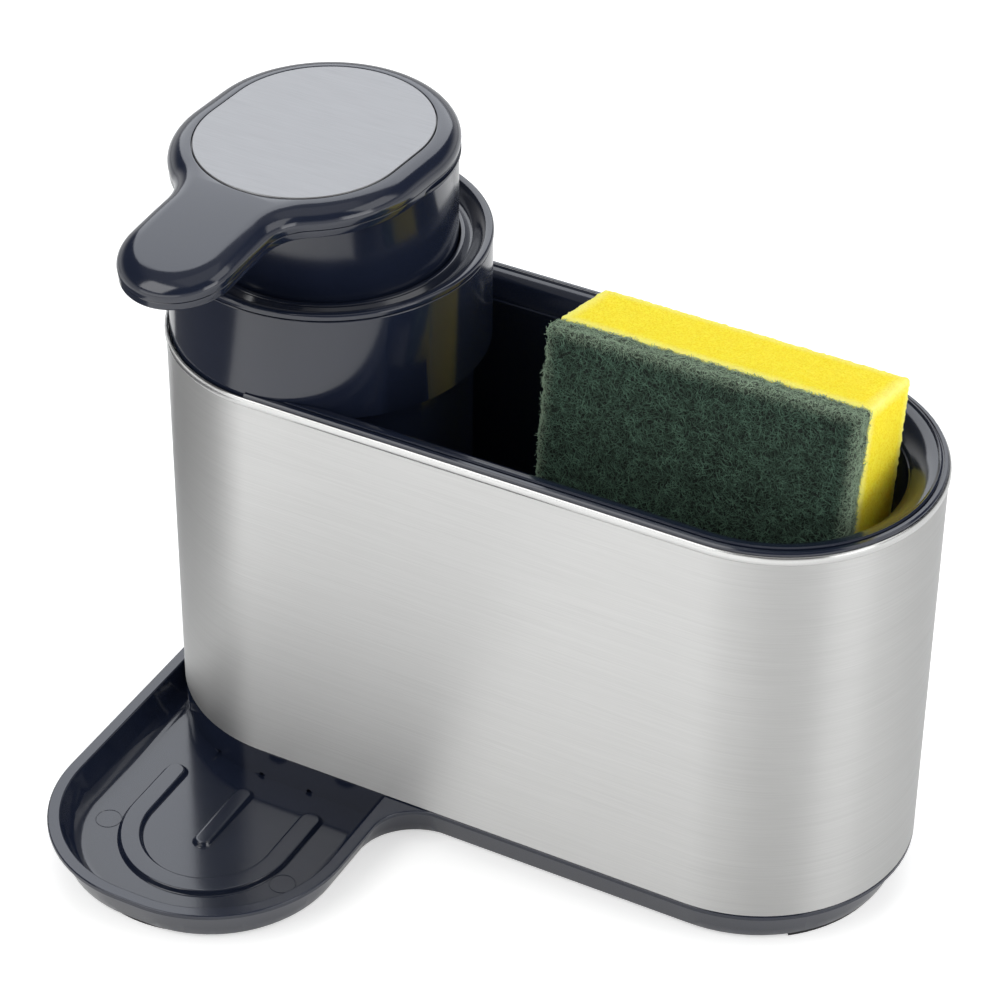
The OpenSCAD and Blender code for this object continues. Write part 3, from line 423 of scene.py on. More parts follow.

# %% Non-woven scouring fibre, with a painted highlight where its cut edges catch the light
pad_fibre, tree, place = start_finish("non_woven_scouring_fibre")
clumps = add(tree, "ShaderNodeTexNoise", None, {
    "Vector": place, "Scale": 1 / (4 * MM), "Detail": 4.0, "Roughness": 0.75})
level = add(tree, "ShaderNodeMapRange", None, {
    "Value": clumps, "From Min": 0.35, "From Max": 0.65, "To Min": 0.5})
# Each fibre has its own tone
tone = add(tree, "ShaderNodeAttribute", {"attribute_name": "tone"}).outputs["Fac"]
level = add(tree, "ShaderNodeMath", {"operation": "MULTIPLY"}, {0: tone, 1: level})
shade = add(tree, "ShaderNodeMix", {"data_type": "RGBA"}, {
    0: level, 6: linear("151D19"), 7: linear("7EA68E")})
threads = add(tree, "ShaderNodeTexNoise", None, {
    "Vector": place, "Scale": 1 / (0.5 * MM), "Detail": 2.0, "Roughness": 0.6,
    "Distortion": 1.5})
ragged = add(tree, "ShaderNodeMapRange", None, {
    "Value": threads, "From Min": 0.3, "From Max": 0.6, "To Min": 0.4})
# Painted highlight: the cut edges are painted a pale green, as where light catches them
edge = add(tree, "ShaderNodeAttribute", {"attribute_name": "edge"}).outputs["Fac"]
edge_highlight = add(tree, "ShaderNodeMath", {"operation": "MULTIPLY"}, {0: edge, 1: ragged})
# The block under the fibres has no tone, and gets little of the painted edge highlight
fibre = add(tree, "ShaderNodeMapRange", None, {"Value": tone, "From Max": 0.3, "To Min": 0.15})
edge_highlight = add(tree, "ShaderNodeMath", {"operation": "MULTIPLY"}, {0: edge_highlight, 1: fibre})
shade = add(tree, "ShaderNodeMix", {"data_type": "RGBA"}, {
    0: edge_highlight, 6: shade.outputs[2], 7: linear("B4CAAE")})
bump = add(tree, "ShaderNodeBump", None, {
    "Height": threads, "Strength": 0.6, "Distance": 0.3 * MM})
end_finish(tree, {"Base Color": shade.outputs[2], "Roughness": 0.7, "Specular IOR Level": 0.25,
                  "Normal": bump})
print("made", pad_fibre.name)

# %% [markdown]
# ## Making a mesh from rings
# Most moulded pieces here are a stack of rings: each ring has the same number of points, and
# quads join one ring to the next. The helpers keep the object at the origin with its place in its
# mesh, so that patterns that read object coordinates stay where they are.


# %% Points, rings and pieces
def arc(x, y, r, start, stop, steps):
    """Points on an arc, angles in degrees."""
    a = np.radians(np.linspace(start, stop, steps + 1))
    return np.column_stack((x + r * np.cos(a), y + r * np.sin(a)))


def joined(rings, count, loop=False, first=0):
    """Quads between neighbours of so many rings of count points, numbered on from first."""
    faces = []
    for k in range(rings if loop else rings - 1):
        a, b = first + k * count, first + (k + 1) % rings * count
        faces += [(a + i, a + (i + 1) % count, b + (i + 1) % count, b + i) for i in range(count)]
    return faces


def piece_of(name, points, faces, material, sharp=32):
    """A shown mesh from points in mm, smooth but for edges sharper than the given angle."""
    mesh = bpy.data.meshes.new(name)
    mesh.from_pydata([tuple(p) for p in np.asarray(points, float) * MM], [], faces)
    return shown(name, mesh, material, sharp)


def shown(name, mesh, material, sharp=32):
    """Shows a mesh with outward faces, one finish and smooth shading."""
    shape = bmesh.new()
    shape.from_mesh(mesh)
    bmesh.ops.remove_doubles(shape, verts=shape.verts, dist=1e-6)
    bmesh.ops.recalc_face_normals(shape, faces=shape.faces)
    shape.to_mesh(mesh)
    shape.free()
    mesh.materials.clear()
    mesh.materials.append(material)
    mesh.shade_smooth()
    mesh.set_sharp_from_angle(angle=math.radians(sharp))
    mesh.name = name
    return in_scene(name, mesh)


# %% [markdown]
# ## The pump's head
# The head is two mouldings: an upper cover with a broad round edge, and a thin lower shell with the
# skirt. Both follow one outline: two round ends joined by a short straight, a hollow on each side,
# and a spout with a round tip that droops a little. The same formula as in the solids gives the
# outline here, with far more points, so that the gloss runs smoothly over the round edge.

# %% The head's outline
HEAD_R, HEAD_STRAIGHT, HEAD_SHIFT = 35.9, 6.3, 5.7
SPOUT_HALF, SPOUT_REACH, NECK = 16.5, 67.2, 15.0
SPOUT_END = SPOUT_REACH + SPOUT_HALF
# The spout's tip hangs by DROOP at the parting line, and by TOP_DROOP on top
DROOP_START, DROOP, TOP_DROOP = 41.9, 5.0, 5.8
neck_x = SPOUT_HALF + NECK
neck_y = -HEAD_SHIFT - HEAD_STRAIGHT - math.sqrt((HEAD_R + NECK) ** 2 - neck_x ** 2)
neck_angle = math.degrees(math.atan2(neck_y + HEAD_SHIFT + HEAD_STRAIGHT, neck_x))


def head_side(inset):
    """The right half of the outline, from the back to the spout's tip."""
    back, front = HEAD_STRAIGHT - HEAD_SHIFT, -HEAD_STRAIGHT - HEAD_SHIFT
    side = np.column_stack((np.full(5, HEAD_R - inset), np.linspace(back, front, 7)[1:-1]))
    neck = arc(neck_x, neck_y, NECK + inset, neck_angle + 180, 180, 20)
    run = np.linspace(neck[-1][1], -SPOUT_REACH, 12)[1:-1]
    spout = np.column_stack((np.full(len(run), SPOUT_HALF - inset), run))
    return np.vstack((arc(0, back, HEAD_R - inset, 90, 0, 36), side,
                      arc(0, front, HEAD_R - inset, 0, neck_angle, 24), neck[1:], spout,
                      arc(0, -SPOUT_REACH, SPOUT_HALF - inset, 0, -90, 28)))


def head_ring(inset, z, tip=DROOP):
    """The whole outline as points, lowered towards the spout's tip by tip mm."""
    half = head_side(inset)
    ring = np.vstack((half, half[-2:0:-1] * (-1, 1)))
    ratio = np.maximum(0, -ring[:, 1] - DROOP_START) / (SPOUT_END - DROOP_START)
    return np.column_stack((ring, z - tip * ratio ** 1.5))


def at_head(points):
    """From the head's own frame to the caddy's: turned about the pump's axis."""
    points = np.asarray(points, float)
    c, s = math.cos(HEAD_TURN), math.sin(HEAD_TURN)
    x, y = points[:, 0] * c - points[:, 1] * s, points[:, 0] * s + points[:, 1] * c
    return np.column_stack((x + PUMP_AXIS[0], y + PUMP_AXIS[1], points[:, 2]))


half_count = len(head_side(0))
ring_count = len(head_ring(0, 0))
print(f"the outline has {ring_count} points; the hollow side starts at {neck_angle:.1f} degrees")


def bridge(start, first=0):
    """Strips straight across a ring, from its right half to its left half."""
    faces = []
    for i in range(first, half_count - 1):
        left = [start + (ring_count - k) % ring_count for k in (i + 1, i)]
        faces.append(tuple(dict.fromkeys((start + i, start + i + 1, *left))))
    return faces


# %% The upper cover
PARTING, COVER, EDGE, STAND = 193.95, 6.0, 6.1, 1.2
DISC_R, DISC_GAP, DISC_BED = 29.2, 0.2, 0.9
top = PARTING + COVER
rings = [head_ring(1.6, top - 3.0, TOP_DROOP), head_ring(1.6, PARTING), head_ring(0.3, PARTING),
         head_ring(0.15, PARTING + 0.15)]
for a in np.radians(np.linspace(0, 90, 15)):
    rings.append(head_ring(EDGE * (1 - math.cos(a)),
                           PARTING + STAND + (COVER - STAND) * math.sin(a),
                           DROOP + (TOP_DROOP - DROOP) * math.sin(a)))
crest = rings[-1]
last = (len(rings) - 1) * ring_count
faces = joined(len(rings), ring_count) + bridge(0)
cut = next(i for i in range(half_count) if crest[i][1] < -DROOP_START)
faces += bridge(last, cut)
# The flat top behind the spout, with a hole for the disc
brink = [last + i for i in range(cut + 1)] + [last + ring_count - i for i in range(cut, 0, -1)]


def disc_bed(spread):
    """The outline of the disc's bed, spread outwards by so many mm."""
    r = DISC_R + DISC_GAP + spread
    return np.vstack((arc(0, HEAD_STRAIGHT - HEAD_SHIFT, r, 0, 180, 60),
                      arc(0, -HEAD_STRAIGHT - HEAD_SHIFT, r, 180, 360, 60)))


# How far each of the bed's rings is spread, and how far it lies below the top
steps = ((0.35, 0), (0.1, 0.1), (0, 0.35), (0, DISC_BED))
beds = [np.column_stack((disc_bed(spread), np.full(len(disc_bed(spread)), top - down)))
        for spread, down in steps]
points = np.vstack(rings + beds)
bed_count, hole = len(beds[0]), len(rings) * ring_count
flat = [Vector((*points[i][:2], 0)) for i in brink]
index = brink + list(range(hole, hole + bed_count))
faces += [tuple(index[i] for i in tri) for tri in tessellate_polygon(
    [flat, [Vector((*p[:2], 0)) for p in beds[0]]])]
faces += joined(len(beds), bed_count, first=hole)
faces.append(tuple(hole + (len(beds) - 1) * bed_count + i for i in range(bed_count)))
cover = piece_of("head_cover_smooth", at_head(points), faces, dark_plastic)
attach(cover, "head")
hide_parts("head_cover")
print("the cover has", len(cover.data.polygons), "faces")

# %% The lower shell, its skirt and the boss over the stem
LOWER = 191.55
rings = [head_ring(0.9, LOWER), head_ring(0.5, LOWER + 0.15), head_ring(0.3, LOWER + 0.5),
         head_ring(0.3, PARTING - 0.25), head_ring(0.4, PARTING - 0.15)]
points = np.vstack(rings)
faces = joined(len(rings), ring_count) + bridge(0) + bridge((len(rings) - 1) * ring_count)


def turned_ring(profile, steps):
    """A closed profile of radius and height turned about the pump's axis."""
    profile = np.asarray(profile, float)
    a = np.radians(np.arange(steps) * 360 / steps)
    points = np.vstack([np.column_stack((r * np.cos(a), r * np.sin(a), np.full(steps, z)))
                        for r, z in profile])
    return points, joined(len(profile), steps, loop=True)


SKIRT_FOOT, BOSS_FOOT = 148.8, 179.55
skirt = [(34.0, LOWER + 1.0), (34.0, SKIRT_FOOT + 0.3), (34.3, SKIRT_FOOT), (35.3, SKIRT_FOOT),
         (35.6, SKIRT_FOOT + 0.3), (35.6, LOWER - 0.6), (35.8, LOWER - 0.2),
         (36.2, LOWER + 0.3), (36.2, LOWER + 1.0)]
boss = [(4.55, LOWER + 1.2), (4.55, BOSS_FOOT), (7.5, BOSS_FOOT), (7.5, LOWER + 1.2)]
for profile in (skirt, boss):
    more, quads = turned_ring(profile, 128)
    faces += [tuple(i + len(points) for i in quad) for quad in quads]
    points = np.vstack((points, more))
lower_shell = piece_of("head_lower_shell", at_head(points), faces, dark_plastic)
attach(lower_shell, "head")
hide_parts("head_base")
print("the lower shell has", len(lower_shell.data.polygons), "faces")

# %% [markdown]
# ## Rounded edges on the moulded pieces
# A mould never gives a knife edge: each corner of the tray's lip, the liner's rim and the collar
# has a small radius, and that radius is what catches the light as a thin bright line. The solids
# have sharp corners, so a copy of each is welded, its flat faces are made whole, and its sharp
# outer edges get a bevel.


# %% A copy of a solid with rounded edges
SHARP, FLAT = math.radians(28), math.radians(0.5)


def rounded_copy(node, name, material, width, above, sunk=lambda place: place):
    """Rounds the sharp outer edges above a height by a width, both in mm. sunk moves a point."""
    shape = bmesh.new()
    shape.from_mesh(frame["nodes"][node].data)
    bmesh.ops.remove_doubles(shape, verts=shape.verts, dist=2e-6)
    for vert in shape.verts:
        vert.co = sunk(vert.co)
    bmesh.ops.dissolve_limit(shape, angle_limit=FLAT, verts=shape.verts, edges=shape.edges)
    edges = [edge for edge in shape.edges if len(edge.link_faces) == 2
             and edge.calc_face_angle_signed(0) > SHARP
             and (edge.verts[0].co.z + edge.verts[1].co.z) / 2 / MM > above]
    print(f"{name}: {len(edges)} edges rounded by {width} mm")
    bmesh.ops.bevel(shape, geom=edges, offset=width * MM, offset_type="OFFSET", segments=4,
                    profile=0.5, affect="EDGES", clamp_overlap=True)
    mesh = bpy.data.meshes.new(name)
    shape.to_mesh(mesh)
    shape.free()
    piece = shown(name, mesh, material)
    # Large flat faces keep flat gloss, and only the bevels carry the turn
    even = piece.modifiers.new("even_gloss", "WEIGHTED_NORMAL")
    even.keep_sharp = True
    seen = piece.evaluated_get(bpy.context.evaluated_depsgraph_get())
    piece.data = bpy.data.meshes.new_from_object(seen)
    piece.modifiers.remove(even)
    piece.data.name = name
    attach(piece, body_of(frame["nodes"][node])[0])
    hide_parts(node)
    return piece


RIB_TOP, TRAY_FLOOR, BASE_TOP = 4.4, 3.0, 12.9


def without_ribs(place):
    """The solid's ribs are pressed just under the floor, where rounded ones cover them."""
    rib = abs(place.z / MM - RIB_TOP) < 0.05 and place.y < -0.012
    return Vector((place.x, place.y, (TRAY_FLOOR - 0.1) * MM)) if rib else place


tray_base = rounded_copy("drip_tray_base", "tray_base_moulding", base_plastic, width=0.45,
                         above=BASE_TOP - 0.1, sunk=without_ribs)
liner = rounded_copy("liner", "liner_moulding", dark_plastic, width=0.35, above=90)
disc = rounded_copy("steel_disc", "palm_disc", disc_steel, width=0.35, above=top)
collar = rounded_copy("bottle", "bottle_moulding", dark_plastic, width=0.4, above=150)

# %% [markdown]
# ## The well's rim
# The rim leads a wet sponge and a hand into the well. It is no plain cone: it leaves the crest
# almost flat, so it catches the light there, and bends down to the well's wall. A closed band of
# that section follows the well's round-ended outline and lies on the liner. It stops at the
# bottle's collar, so every line of the band starts where it meets the collar's circle.

# %% The well's rim
WELL_HALF, RIM_OUT, RIM_FOOT, RIM_HIGH, POCKET_R = 35.75, 42.9, 132.9, 138.42, 45.35
BULGE, SUNK, BAND = 1.2, 0.02, 0.4
share = np.linspace(0, 1, 11)
section = np.vstack((
    np.column_stack((WELL_HALF + (RIM_OUT - WELL_HALF) * share,
                     RIM_FOOT + (RIM_HIGH - RIM_FOOT) * share
                     + BULGE * 4 * share * (1 - share) - SUNK)),
    [[RIM_OUT, RIM_HIGH - BAND], [WELL_HALF, RIM_FOOT - BAND]]))


def rim_line(r):
    """The line at distance r from the body's middle line, from the collar round and back."""
    start = PUMP_AXIS[0] + math.sqrt(POCKET_R ** 2 - r ** 2)
    return np.vstack(([[start, BODY_Y - r]], arc(STRAIGHT, BODY_Y, r, -90, 90, 72),
                      [[start, BODY_Y + r]]))


lines = [rim_line(r) for r, z in section]
points = np.vstack([np.column_stack((line, np.full(len(line), z)))
                    for line, (r, z) in zip(lines, section)])
count, along = len(lines), len(lines[0])
faces = [(k * along + i, k * along + i + 1, (k + 1) % count * along + i + 1,
          (k + 1) % count * along + i) for k in range(count) for i in range(along - 1)]
faces += [tuple(k * along for k in range(count)),
          tuple(k * along + along - 1 for k in reversed(range(count)))]
rim = piece_of("well_rim_band", points, faces, dark_plastic, sharp=40)
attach(rim, "caddy")
print("the rim has", len(rim.data.polygons), "faces")

# %% [markdown]
# ## The tray's ribs
# A U-shaped rib and a short one keep a scourer off the wet floor. A rib is the same all along: a
# low bar whose side is one soft S, from the curve at its foot to the round shoulder. So its height
# depends only on the distance from its middle line, and each ring of the mesh is the line of one
# distance.

# %% The ribs
RIB_BEND, RIB_Y, RIB_END, RIB_HALF = 22.7, -74.4 + BODY_Y, -53.2 + BODY_Y, 3.3
MIDDLE_START, MIDDLE_HALF = -80.7 + BODY_Y, 2.75


def u_line(d):
    """The points at distance d from the U's middle line."""
    x, end = PUMP_AXIS[0], RIB_END - RIB_HALF
    outer = arc(x, RIB_Y, RIB_BEND + d, 180, 360, 64)
    right = arc(x + RIB_BEND, end, d, 0, 180, 16)
    inner = arc(x, RIB_Y, RIB_BEND - d, 360, 180, 64)
    left = arc(x - RIB_BEND, end, d, 0, 180, 16)
    return np.vstack((outer, right, inner, left))


def bar_line(d):
    """The points at distance d from the short rib's middle line."""
    x = PUMP_AXIS[0]
    return np.vstack((arc(x, RIB_END - MIDDLE_HALF, d, 0, 180, 24),
                      arc(x, MIDDLE_START + MIDDLE_HALF, d, 180, 360, 24)))


def rib_profile(half):
    """Distance from the middle line and height above the floor, from the foot to the top."""
    foot, shoulder, height = half + 0.45, half - 0.8, RIB_TOP - TRAY_FLOOR
    share = np.linspace(0, 1, 13)
    slope = np.column_stack((foot + (shoulder - foot) * share,
                             height * share ** 2 * (3 - 2 * share)))
    return np.vstack(([[half + 0.5, -0.15]], slope, [[half - 1.2, height + 0.01]]))


points, faces = np.zeros((0, 3)), []
for line, half in ((u_line, RIB_HALF), (bar_line, MIDDLE_HALF)):
    rings = [np.column_stack((line(d), np.full(len(line(d)), TRAY_FLOOR + up)))
             for d, up in rib_profile(half)]
    count, first, last = len(rings[0]), len(points), len(points) + (len(rings) - 1) * len(rings[0])
    faces += joined(len(rings), count, first=first)
    faces += [tuple(last + i for i in range(count)),
              tuple(first + i for i in reversed(range(count)))]
    points = np.vstack([points] + rings)
ribs = piece_of("tray_ribs_rounded", points, faces, base_plastic, sharp=40)
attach(ribs, "caddy")
print("the ribs have", len(ribs.data.polygons), "faces")

# %% [markdown]
# ## The refill cap
# The cap is turned from one profile: a thick round lip, a funnel that leads stray soap back, a low
# rim round the head's skirt and the cup below it. The lip and the funnel's foot get real curves.

# %% The refill cap
CAP_FOOT, CAP_TOP, CAP_R, VALLEY, GUIDE_R = 165.55, 167.35, 45.2, 163.75, 36.0
CUP_FLOOR, CUP_WALL, PLUG_R, PLUG_FOOT = 133.75, 1.9, 42.6, 152.55
LIP_R, CREST = 0.9, 43.7
lip = arc(CAP_R - LIP_R, CAP_TOP - LIP_R, LIP_R, 0, 90, 10)
run = np.linspace(0, 1, 13)[1:]
funnel = np.column_stack((CREST - (CREST - 38.6) * run,
                          CAP_TOP - (CAP_TOP - VALLEY) * (3 * run ** 2 - 2 * run ** 3)))
guide = np.vstack((arc(36.9, 164.75, 0.6, 0, 90, 6), arc(GUIDE_R + 0.3, 165.05, 0.3, 90, 180, 4)))
below = [(GUIDE_R, CUP_FLOOR), (9.6, CUP_FLOOR), (9.6, CUP_FLOOR - CUP_WALL),
         (GUIDE_R + 1.4, CUP_FLOOR - CUP_WALL), (37.9, 160.05), (40.7, 161.95),
         (40.7, PLUG_FOOT), (PLUG_R, PLUG_FOOT), (PLUG_R, CAP_FOOT), (CAP_R - 0.15, CAP_FOOT),
         (CAP_R, CAP_FOOT + 0.15)]
points, faces = turned_ring(np.vstack((lip, funnel, guide, below)), 160)
cap = piece_of("refill_cap_turned", points + (*PUMP_AXIS, 0), faces, dark_plastic, sharp=25)
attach(cap, "pump")
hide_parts("refill_cap")
print("the cap has", len(cap.data.polygons), "faces")

# %% [markdown]
# ## The sleeve, swept by Geometry Nodes
# The sleeve is one strip of sheet rolled to a race track, with its top edge rolled over into a
# bead. That is a rule, so Geometry Nodes make it: a circle whose halves are pushed apart is the
# path, the sheet's cross-section runs round it, and so does a small oval for the bead. More points
# than in the solid keep the brushed reflections smooth round the ends.


# %% A helper that runs a node tree once and keeps the mesh
def new_tree(name, sizes):
    """A geometry tree with one geometry and one finish input, and a named input for each size."""
    tree = bpy.data.node_groups.new(name, "GeometryNodeTree")
    tree.interface.new_socket("Geometry", in_out="INPUT", socket_type="NodeSocketGeometry")
    tree.interface.new_socket("Finish", in_out="INPUT", socket_type="NodeSocketMaterial")
    for size in sizes:
        tree.interface.new_socket(size, in_out="INPUT", socket_type="NodeSocketFloat")
    tree.interface.new_socket("Geometry", in_out="OUTPUT", socket_type="NodeSocketGeometry")
    return tree, add(tree, "NodeGroupInput").outputs


def grown(tree, result, base, finish, sizes):
    """Ends the tree, runs it on the base mesh with these sizes, and gives the result as a mesh."""
    real = add(tree, "GeometryNodeRealizeInstances", None, {0: result})
    given = next(node for node in tree.nodes if node.type == "GROUP_INPUT").outputs
    dressed = add(tree, "GeometryNodeSetMaterial", None, {
        "Geometry": real, "Material": given["Finish"]})
    add(tree, "NodeGroupOutput", None, {0: dressed})
    carrier = in_scene(tree.name, base)
    run = carrier.modifiers.new(tree.name, "NODES")
    run.node_group = tree
    for item in tree.interface.items_tree:
        if item.in_out == "INPUT" and item.name in sizes:
            run[item.identifier] = float(sizes[item.name])
        elif item.in_out == "INPUT" and item.name == "Finish":
            run[item.identifier] = finish
    seen = carrier.evaluated_get(bpy.context.evaluated_depsgraph_get())
    mesh = bpy.data.meshes.new_from_object(seen)
    carrier.modifiers.remove(run)
    bpy.data.objects.remove(carrier)
    return mesh


# %% The sleeve
tree, size = new_tree("sleeve_sweep", [
    "Segments", "Wall radius", "Wall height", "Wall middle", "Sheet", "Bead radius", "Bead height",
    "Bead width", "Bead middle", "Straight half", "Set back"])


def race_path(radius, level):
    """A closed race track of this radius at this height."""
    circle = add(tree, "GeometryNodeMeshCircle", None, {
        "Vertices": size["Segments"], "Radius": radius})
    spot = add(tree, "ShaderNodeSeparateXYZ", None, {0: add(tree, "GeometryNodeInputPosition")})
    side = add(tree, "ShaderNodeMath", {"operation": "SIGN"}, {0: spot})
    push = add(tree, "ShaderNodeMath", {"operation": "MULTIPLY"}, {
        0: side, 1: size["Straight half"]})
    shift = add(tree, "ShaderNodeCombineXYZ", None, {
        0: push, 1: size["Set back"], 2: level})
    moved = add(tree, "GeometryNodeSetPosition", None, {
        "Geometry": circle, "Offset": shift})
    curve = add(tree, "GeometryNodeMeshToCurve", None, {"Mesh": moved})
    return add(tree, "GeometryNodeSetCurveNormal", {"mode": "Z_UP"}, {"Curve": curve})


section = add(tree, "GeometryNodeCurvePrimitiveQuadrilateral", None, {
    "Width": size["Sheet"], "Height": size["Wall height"]})
wall = add(tree, "GeometryNodeCurveToMesh", None, {
    "Curve": race_path(size["Wall radius"], size["Wall middle"]),
    "Profile Curve": section})
ring = add(tree, "GeometryNodeCurvePrimitiveCircle", None, {"Resolution": 20, "Radius": 1.0})
oval = add(tree, "ShaderNodeCombineXYZ", None, {
    0: size["Bead width"], 1: size["Bead height"], 2: 1.0})
section = add(tree, "GeometryNodeTransform", None, {
    "Geometry": ring, "Scale": oval})
bead = add(tree, "GeometryNodeCurveToMesh", None, {
    "Curve": race_path(size["Bead radius"], size["Bead middle"]),
    "Profile Curve": section})
both = add(tree, "GeometryNodeJoinGeometry")
for part in (wall, bead):
    tree.links.new(part.outputs[0], both.inputs[0])
mesh = grown(tree, both, bpy.data.meshes.new("empty_base"), sleeve_steel, {
    "Segments": 288, "Wall radius": 45.65 * MM, "Wall height": 121.6 * MM, "Wall middle": 74.1 * MM,
    "Sheet": 0.7 * MM, "Bead radius": 45.9 * MM, "Bead height": 1.4 * MM, "Bead width": 0.6 * MM,
    "Bead middle": 135.9 * MM, "Straight half": STRAIGHT * MM, "Set back": BODY_Y * MM})
sleeve = shown("sleeve_sheet", mesh, sleeve_steel, sharp=40)
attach(sleeve, "caddy")
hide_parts("steel_sleeve")
low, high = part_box("steel_sleeve")
print("sleeve solid:", [round(c, 4) for c in (*low, *high)])
corners = np.array([v.co for v in mesh.vertices])
print("swept sleeve:", corners.min(0).round(4), corners.max(0).round(4))

# %% [markdown]
# ## The marks that the ejector pins leave
# Pins push the tray's moulding out of its tool, and each leaves a faint ring on the floor. Geometry
# Nodes set one small ring on each point of a plain two-point mesh.

# %% The ejector marks
tree, size = new_tree("ejector_rings", ["Ring radius", "Ring edge"])
ring = add(tree, "GeometryNodeCurvePrimitiveCircle", None, {
    "Resolution": 36, "Radius": size["Ring radius"]})
section = add(tree, "GeometryNodeCurvePrimitiveCircle", None, {
    "Resolution": 6, "Radius": size["Ring edge"]})
tube = add(tree, "GeometryNodeCurveToMesh", None, {"Curve": ring, "Profile Curve": section})
laid = add(tree, "GeometryNodeInstanceOnPoints", None, {
    "Points": size["Geometry"], "Instance": tube})
PIN_SPREAD, PIN_Y, PIN_DEPTH = 29.0, -82.6 + BODY_Y, 0.04
pins = bpy.data.meshes.new("ejector_pins")
pins.from_pydata([Vector((PUMP_AXIS[0] + side * PIN_SPREAD, PIN_Y, TRAY_FLOOR - PIN_DEPTH)) * MM
                  for side in (-1, 1)], [], [])
mesh = grown(tree, laid, pins, base_plastic, {
    "Ring radius": 3.7 * MM, "Ring edge": 0.2 * MM})
marks = shown("ejector_marks", mesh, base_plastic)
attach(marks, "caddy")
print("the marks have", len(mesh.polygons), "faces")

# %% [markdown]
# ## Pieces that keep their solid
# The other pieces already have the right shape. Each gets its finish, and nothing else about it is
# touched.

# %% Finishes for the carried-over solids
finishes = {
    natural_plastic: ("pump_housing", "housing_nut", "stem_guide", "dip_tube", "piston", "stem",
                      "outlet_channel"),
    bright_steel: ("inlet_ball", "return_spring", "outlet_ball"),
    screw_steel: ("base_screws",),
    foot_rubber: ("rubber_feet",),
    seal_rubber: ("cap_seal", "housing_gasket"),
    dark_plastic: ("spout_nozzle",)}
for finish, nodes in finishes.items():
    for node in nodes:
        materials = frame["nodes"][node].data.materials
        materials.clear()
        materials.append(finish)
print(sum(len(nodes) for nodes in finishes.values()), "solids keep their shape and get a finish")

# %% [markdown]
# ## The sponge
# The foam is a block cut with a hot wire, a little soft at its edges, and pressed into the well's
# round end at its lower corners. The block is a fine grid wrapped on a box with rounded edges, then
# leaned back as it stands in the well, and roughened by noise where the cut opened its cells.

# %% The sponge's block, from its own frame to the caddy's
SPONGE_X, SPONGE_LENGTH, SPONGE_THICK, PAD_THICK = 5.9, 90.57, 37.3, 8.7
SPONGE_Z, SPONGE_HEIGHT, LEAN, SLOPE = 100.3, 66.0, math.radians(8), math.radians(13.5)
WELL_R = 35.1
plan_thick = SPONGE_THICK * (math.cos(SLOPE) + math.sin(SLOPE) * math.tan(LEAN))
front_foot = -plan_thick / 2 - (RIM_FOOT - SPONGE_Z) * math.tan(LEAN)


def stood(points):
    """From along, through and up in mm to the caddy's frame, leaned back in the well."""
    x, d, h = points[:, 0], points[:, 1], points[:, 2] / SPONGE_HEIGHT
    foot_y = front_foot + d * plan_thick / SPONGE_THICK
    head_y = front_foot + d * math.cos(SLOPE) + SPONGE_HEIGHT * math.tan(LEAN)
    head_z = SPONGE_Z + SPONGE_HEIGHT - d * math.sin(SLOPE)
    y = foot_y + (head_y - foot_y) * h
    z = SPONGE_Z + (head_z - SPONGE_Z) * h
    limit = STRAIGHT + np.sqrt(np.maximum(0, WELL_R ** 2 - y ** 2))
    x = SPONGE_X + x
    x = np.where(z < RIM_FOOT, np.minimum(x, limit), x)
    return np.column_stack((x, y + BODY_Y, z))


def soft_block(size, start, step, radius):
    """A grid wrapped on a box with rounded edges. Size and start are along, through and up."""
    size, start = np.asarray(size, float), np.asarray(start, float)
    count = np.maximum(2, np.round(size / step)).astype(int)
    points, faces, known = [], [], {}

    def corner(key):
        if key not in known:
            known[key] = len(points)
            p = np.array(key) / count * size
            core = np.clip(p, radius, size - radius)
            out = p - core
            reach = np.linalg.norm(out)
            points.append(core + out * (radius / reach if reach > 0 else 0) + start)
        return known[key]

    for axis in range(3):
        u, v = [k for k in range(3) if k != axis]
        for end in (0, count[axis]):
            for i in range(count[u]):
                for j in range(count[v]):
                    face = []
                    for di, dj in ((0, 0), (1, 0), (1, 1), (0, 1)):
                        key = [0, 0, 0]
                        key[axis], key[u], key[v] = int(end), i + di, j + dj
                        face.append(corner(tuple(key)))
                    faces.append(tuple(face))
    return np.array(points), faces


def rough_block(name, material, size, start, step, radius, edge_width, bumps, grain, bottom,
                cut_sides=None):
    """A leaned block with an edge attribute, roughened by noise above bottom. All is in mm.
    The attribute is 1 on an edge, or with cut_sides on the cut sides that these axes cross."""
    size, start = np.asarray(size, float), np.asarray(start, float)
    points, faces = soft_block(size, start, step, radius)
    past = np.minimum(points - start, size + start - points)
    past = past[:, cut_sides].min(1) if cut_sides else np.sort(past, 1)[:, 1]
    mesh = bpy.data.meshes.new(name)
    mesh.from_pydata([tuple(p) for p in stood(points) * MM], [], faces)
    shape = bmesh.new()
    shape.from_mesh(mesh)
    bmesh.ops.recalc_face_normals(shape, faces=shape.faces)
    shape.to_mesh(mesh)
    shape.free()
    edge = np.clip(1 - past / edge_width, 0, 1)
    open_side = (points[:, 1] < (start + size)[1] - 0.01).astype(float)
    for label, values in (("edge", edge), ("open_side", open_side)):
        mesh.attributes.new(label, "FLOAT", "POINT").data.foreach_set("value", values)
    moved = []
    for vert, p, e in zip(mesh.vertices, points, edge):
        rise = bumps * (1 + e) * noise.fractal(Vector(p) / grain, 0.8, 2.0, 3) * MM
        moved.append(vert.co + vert.normal * rise if p[2] > bottom else vert.co)
    mesh.vertices.foreach_set("co", np.ravel(moved))
    mesh.materials.append(material)
    mesh.shade_smooth()
    return mesh


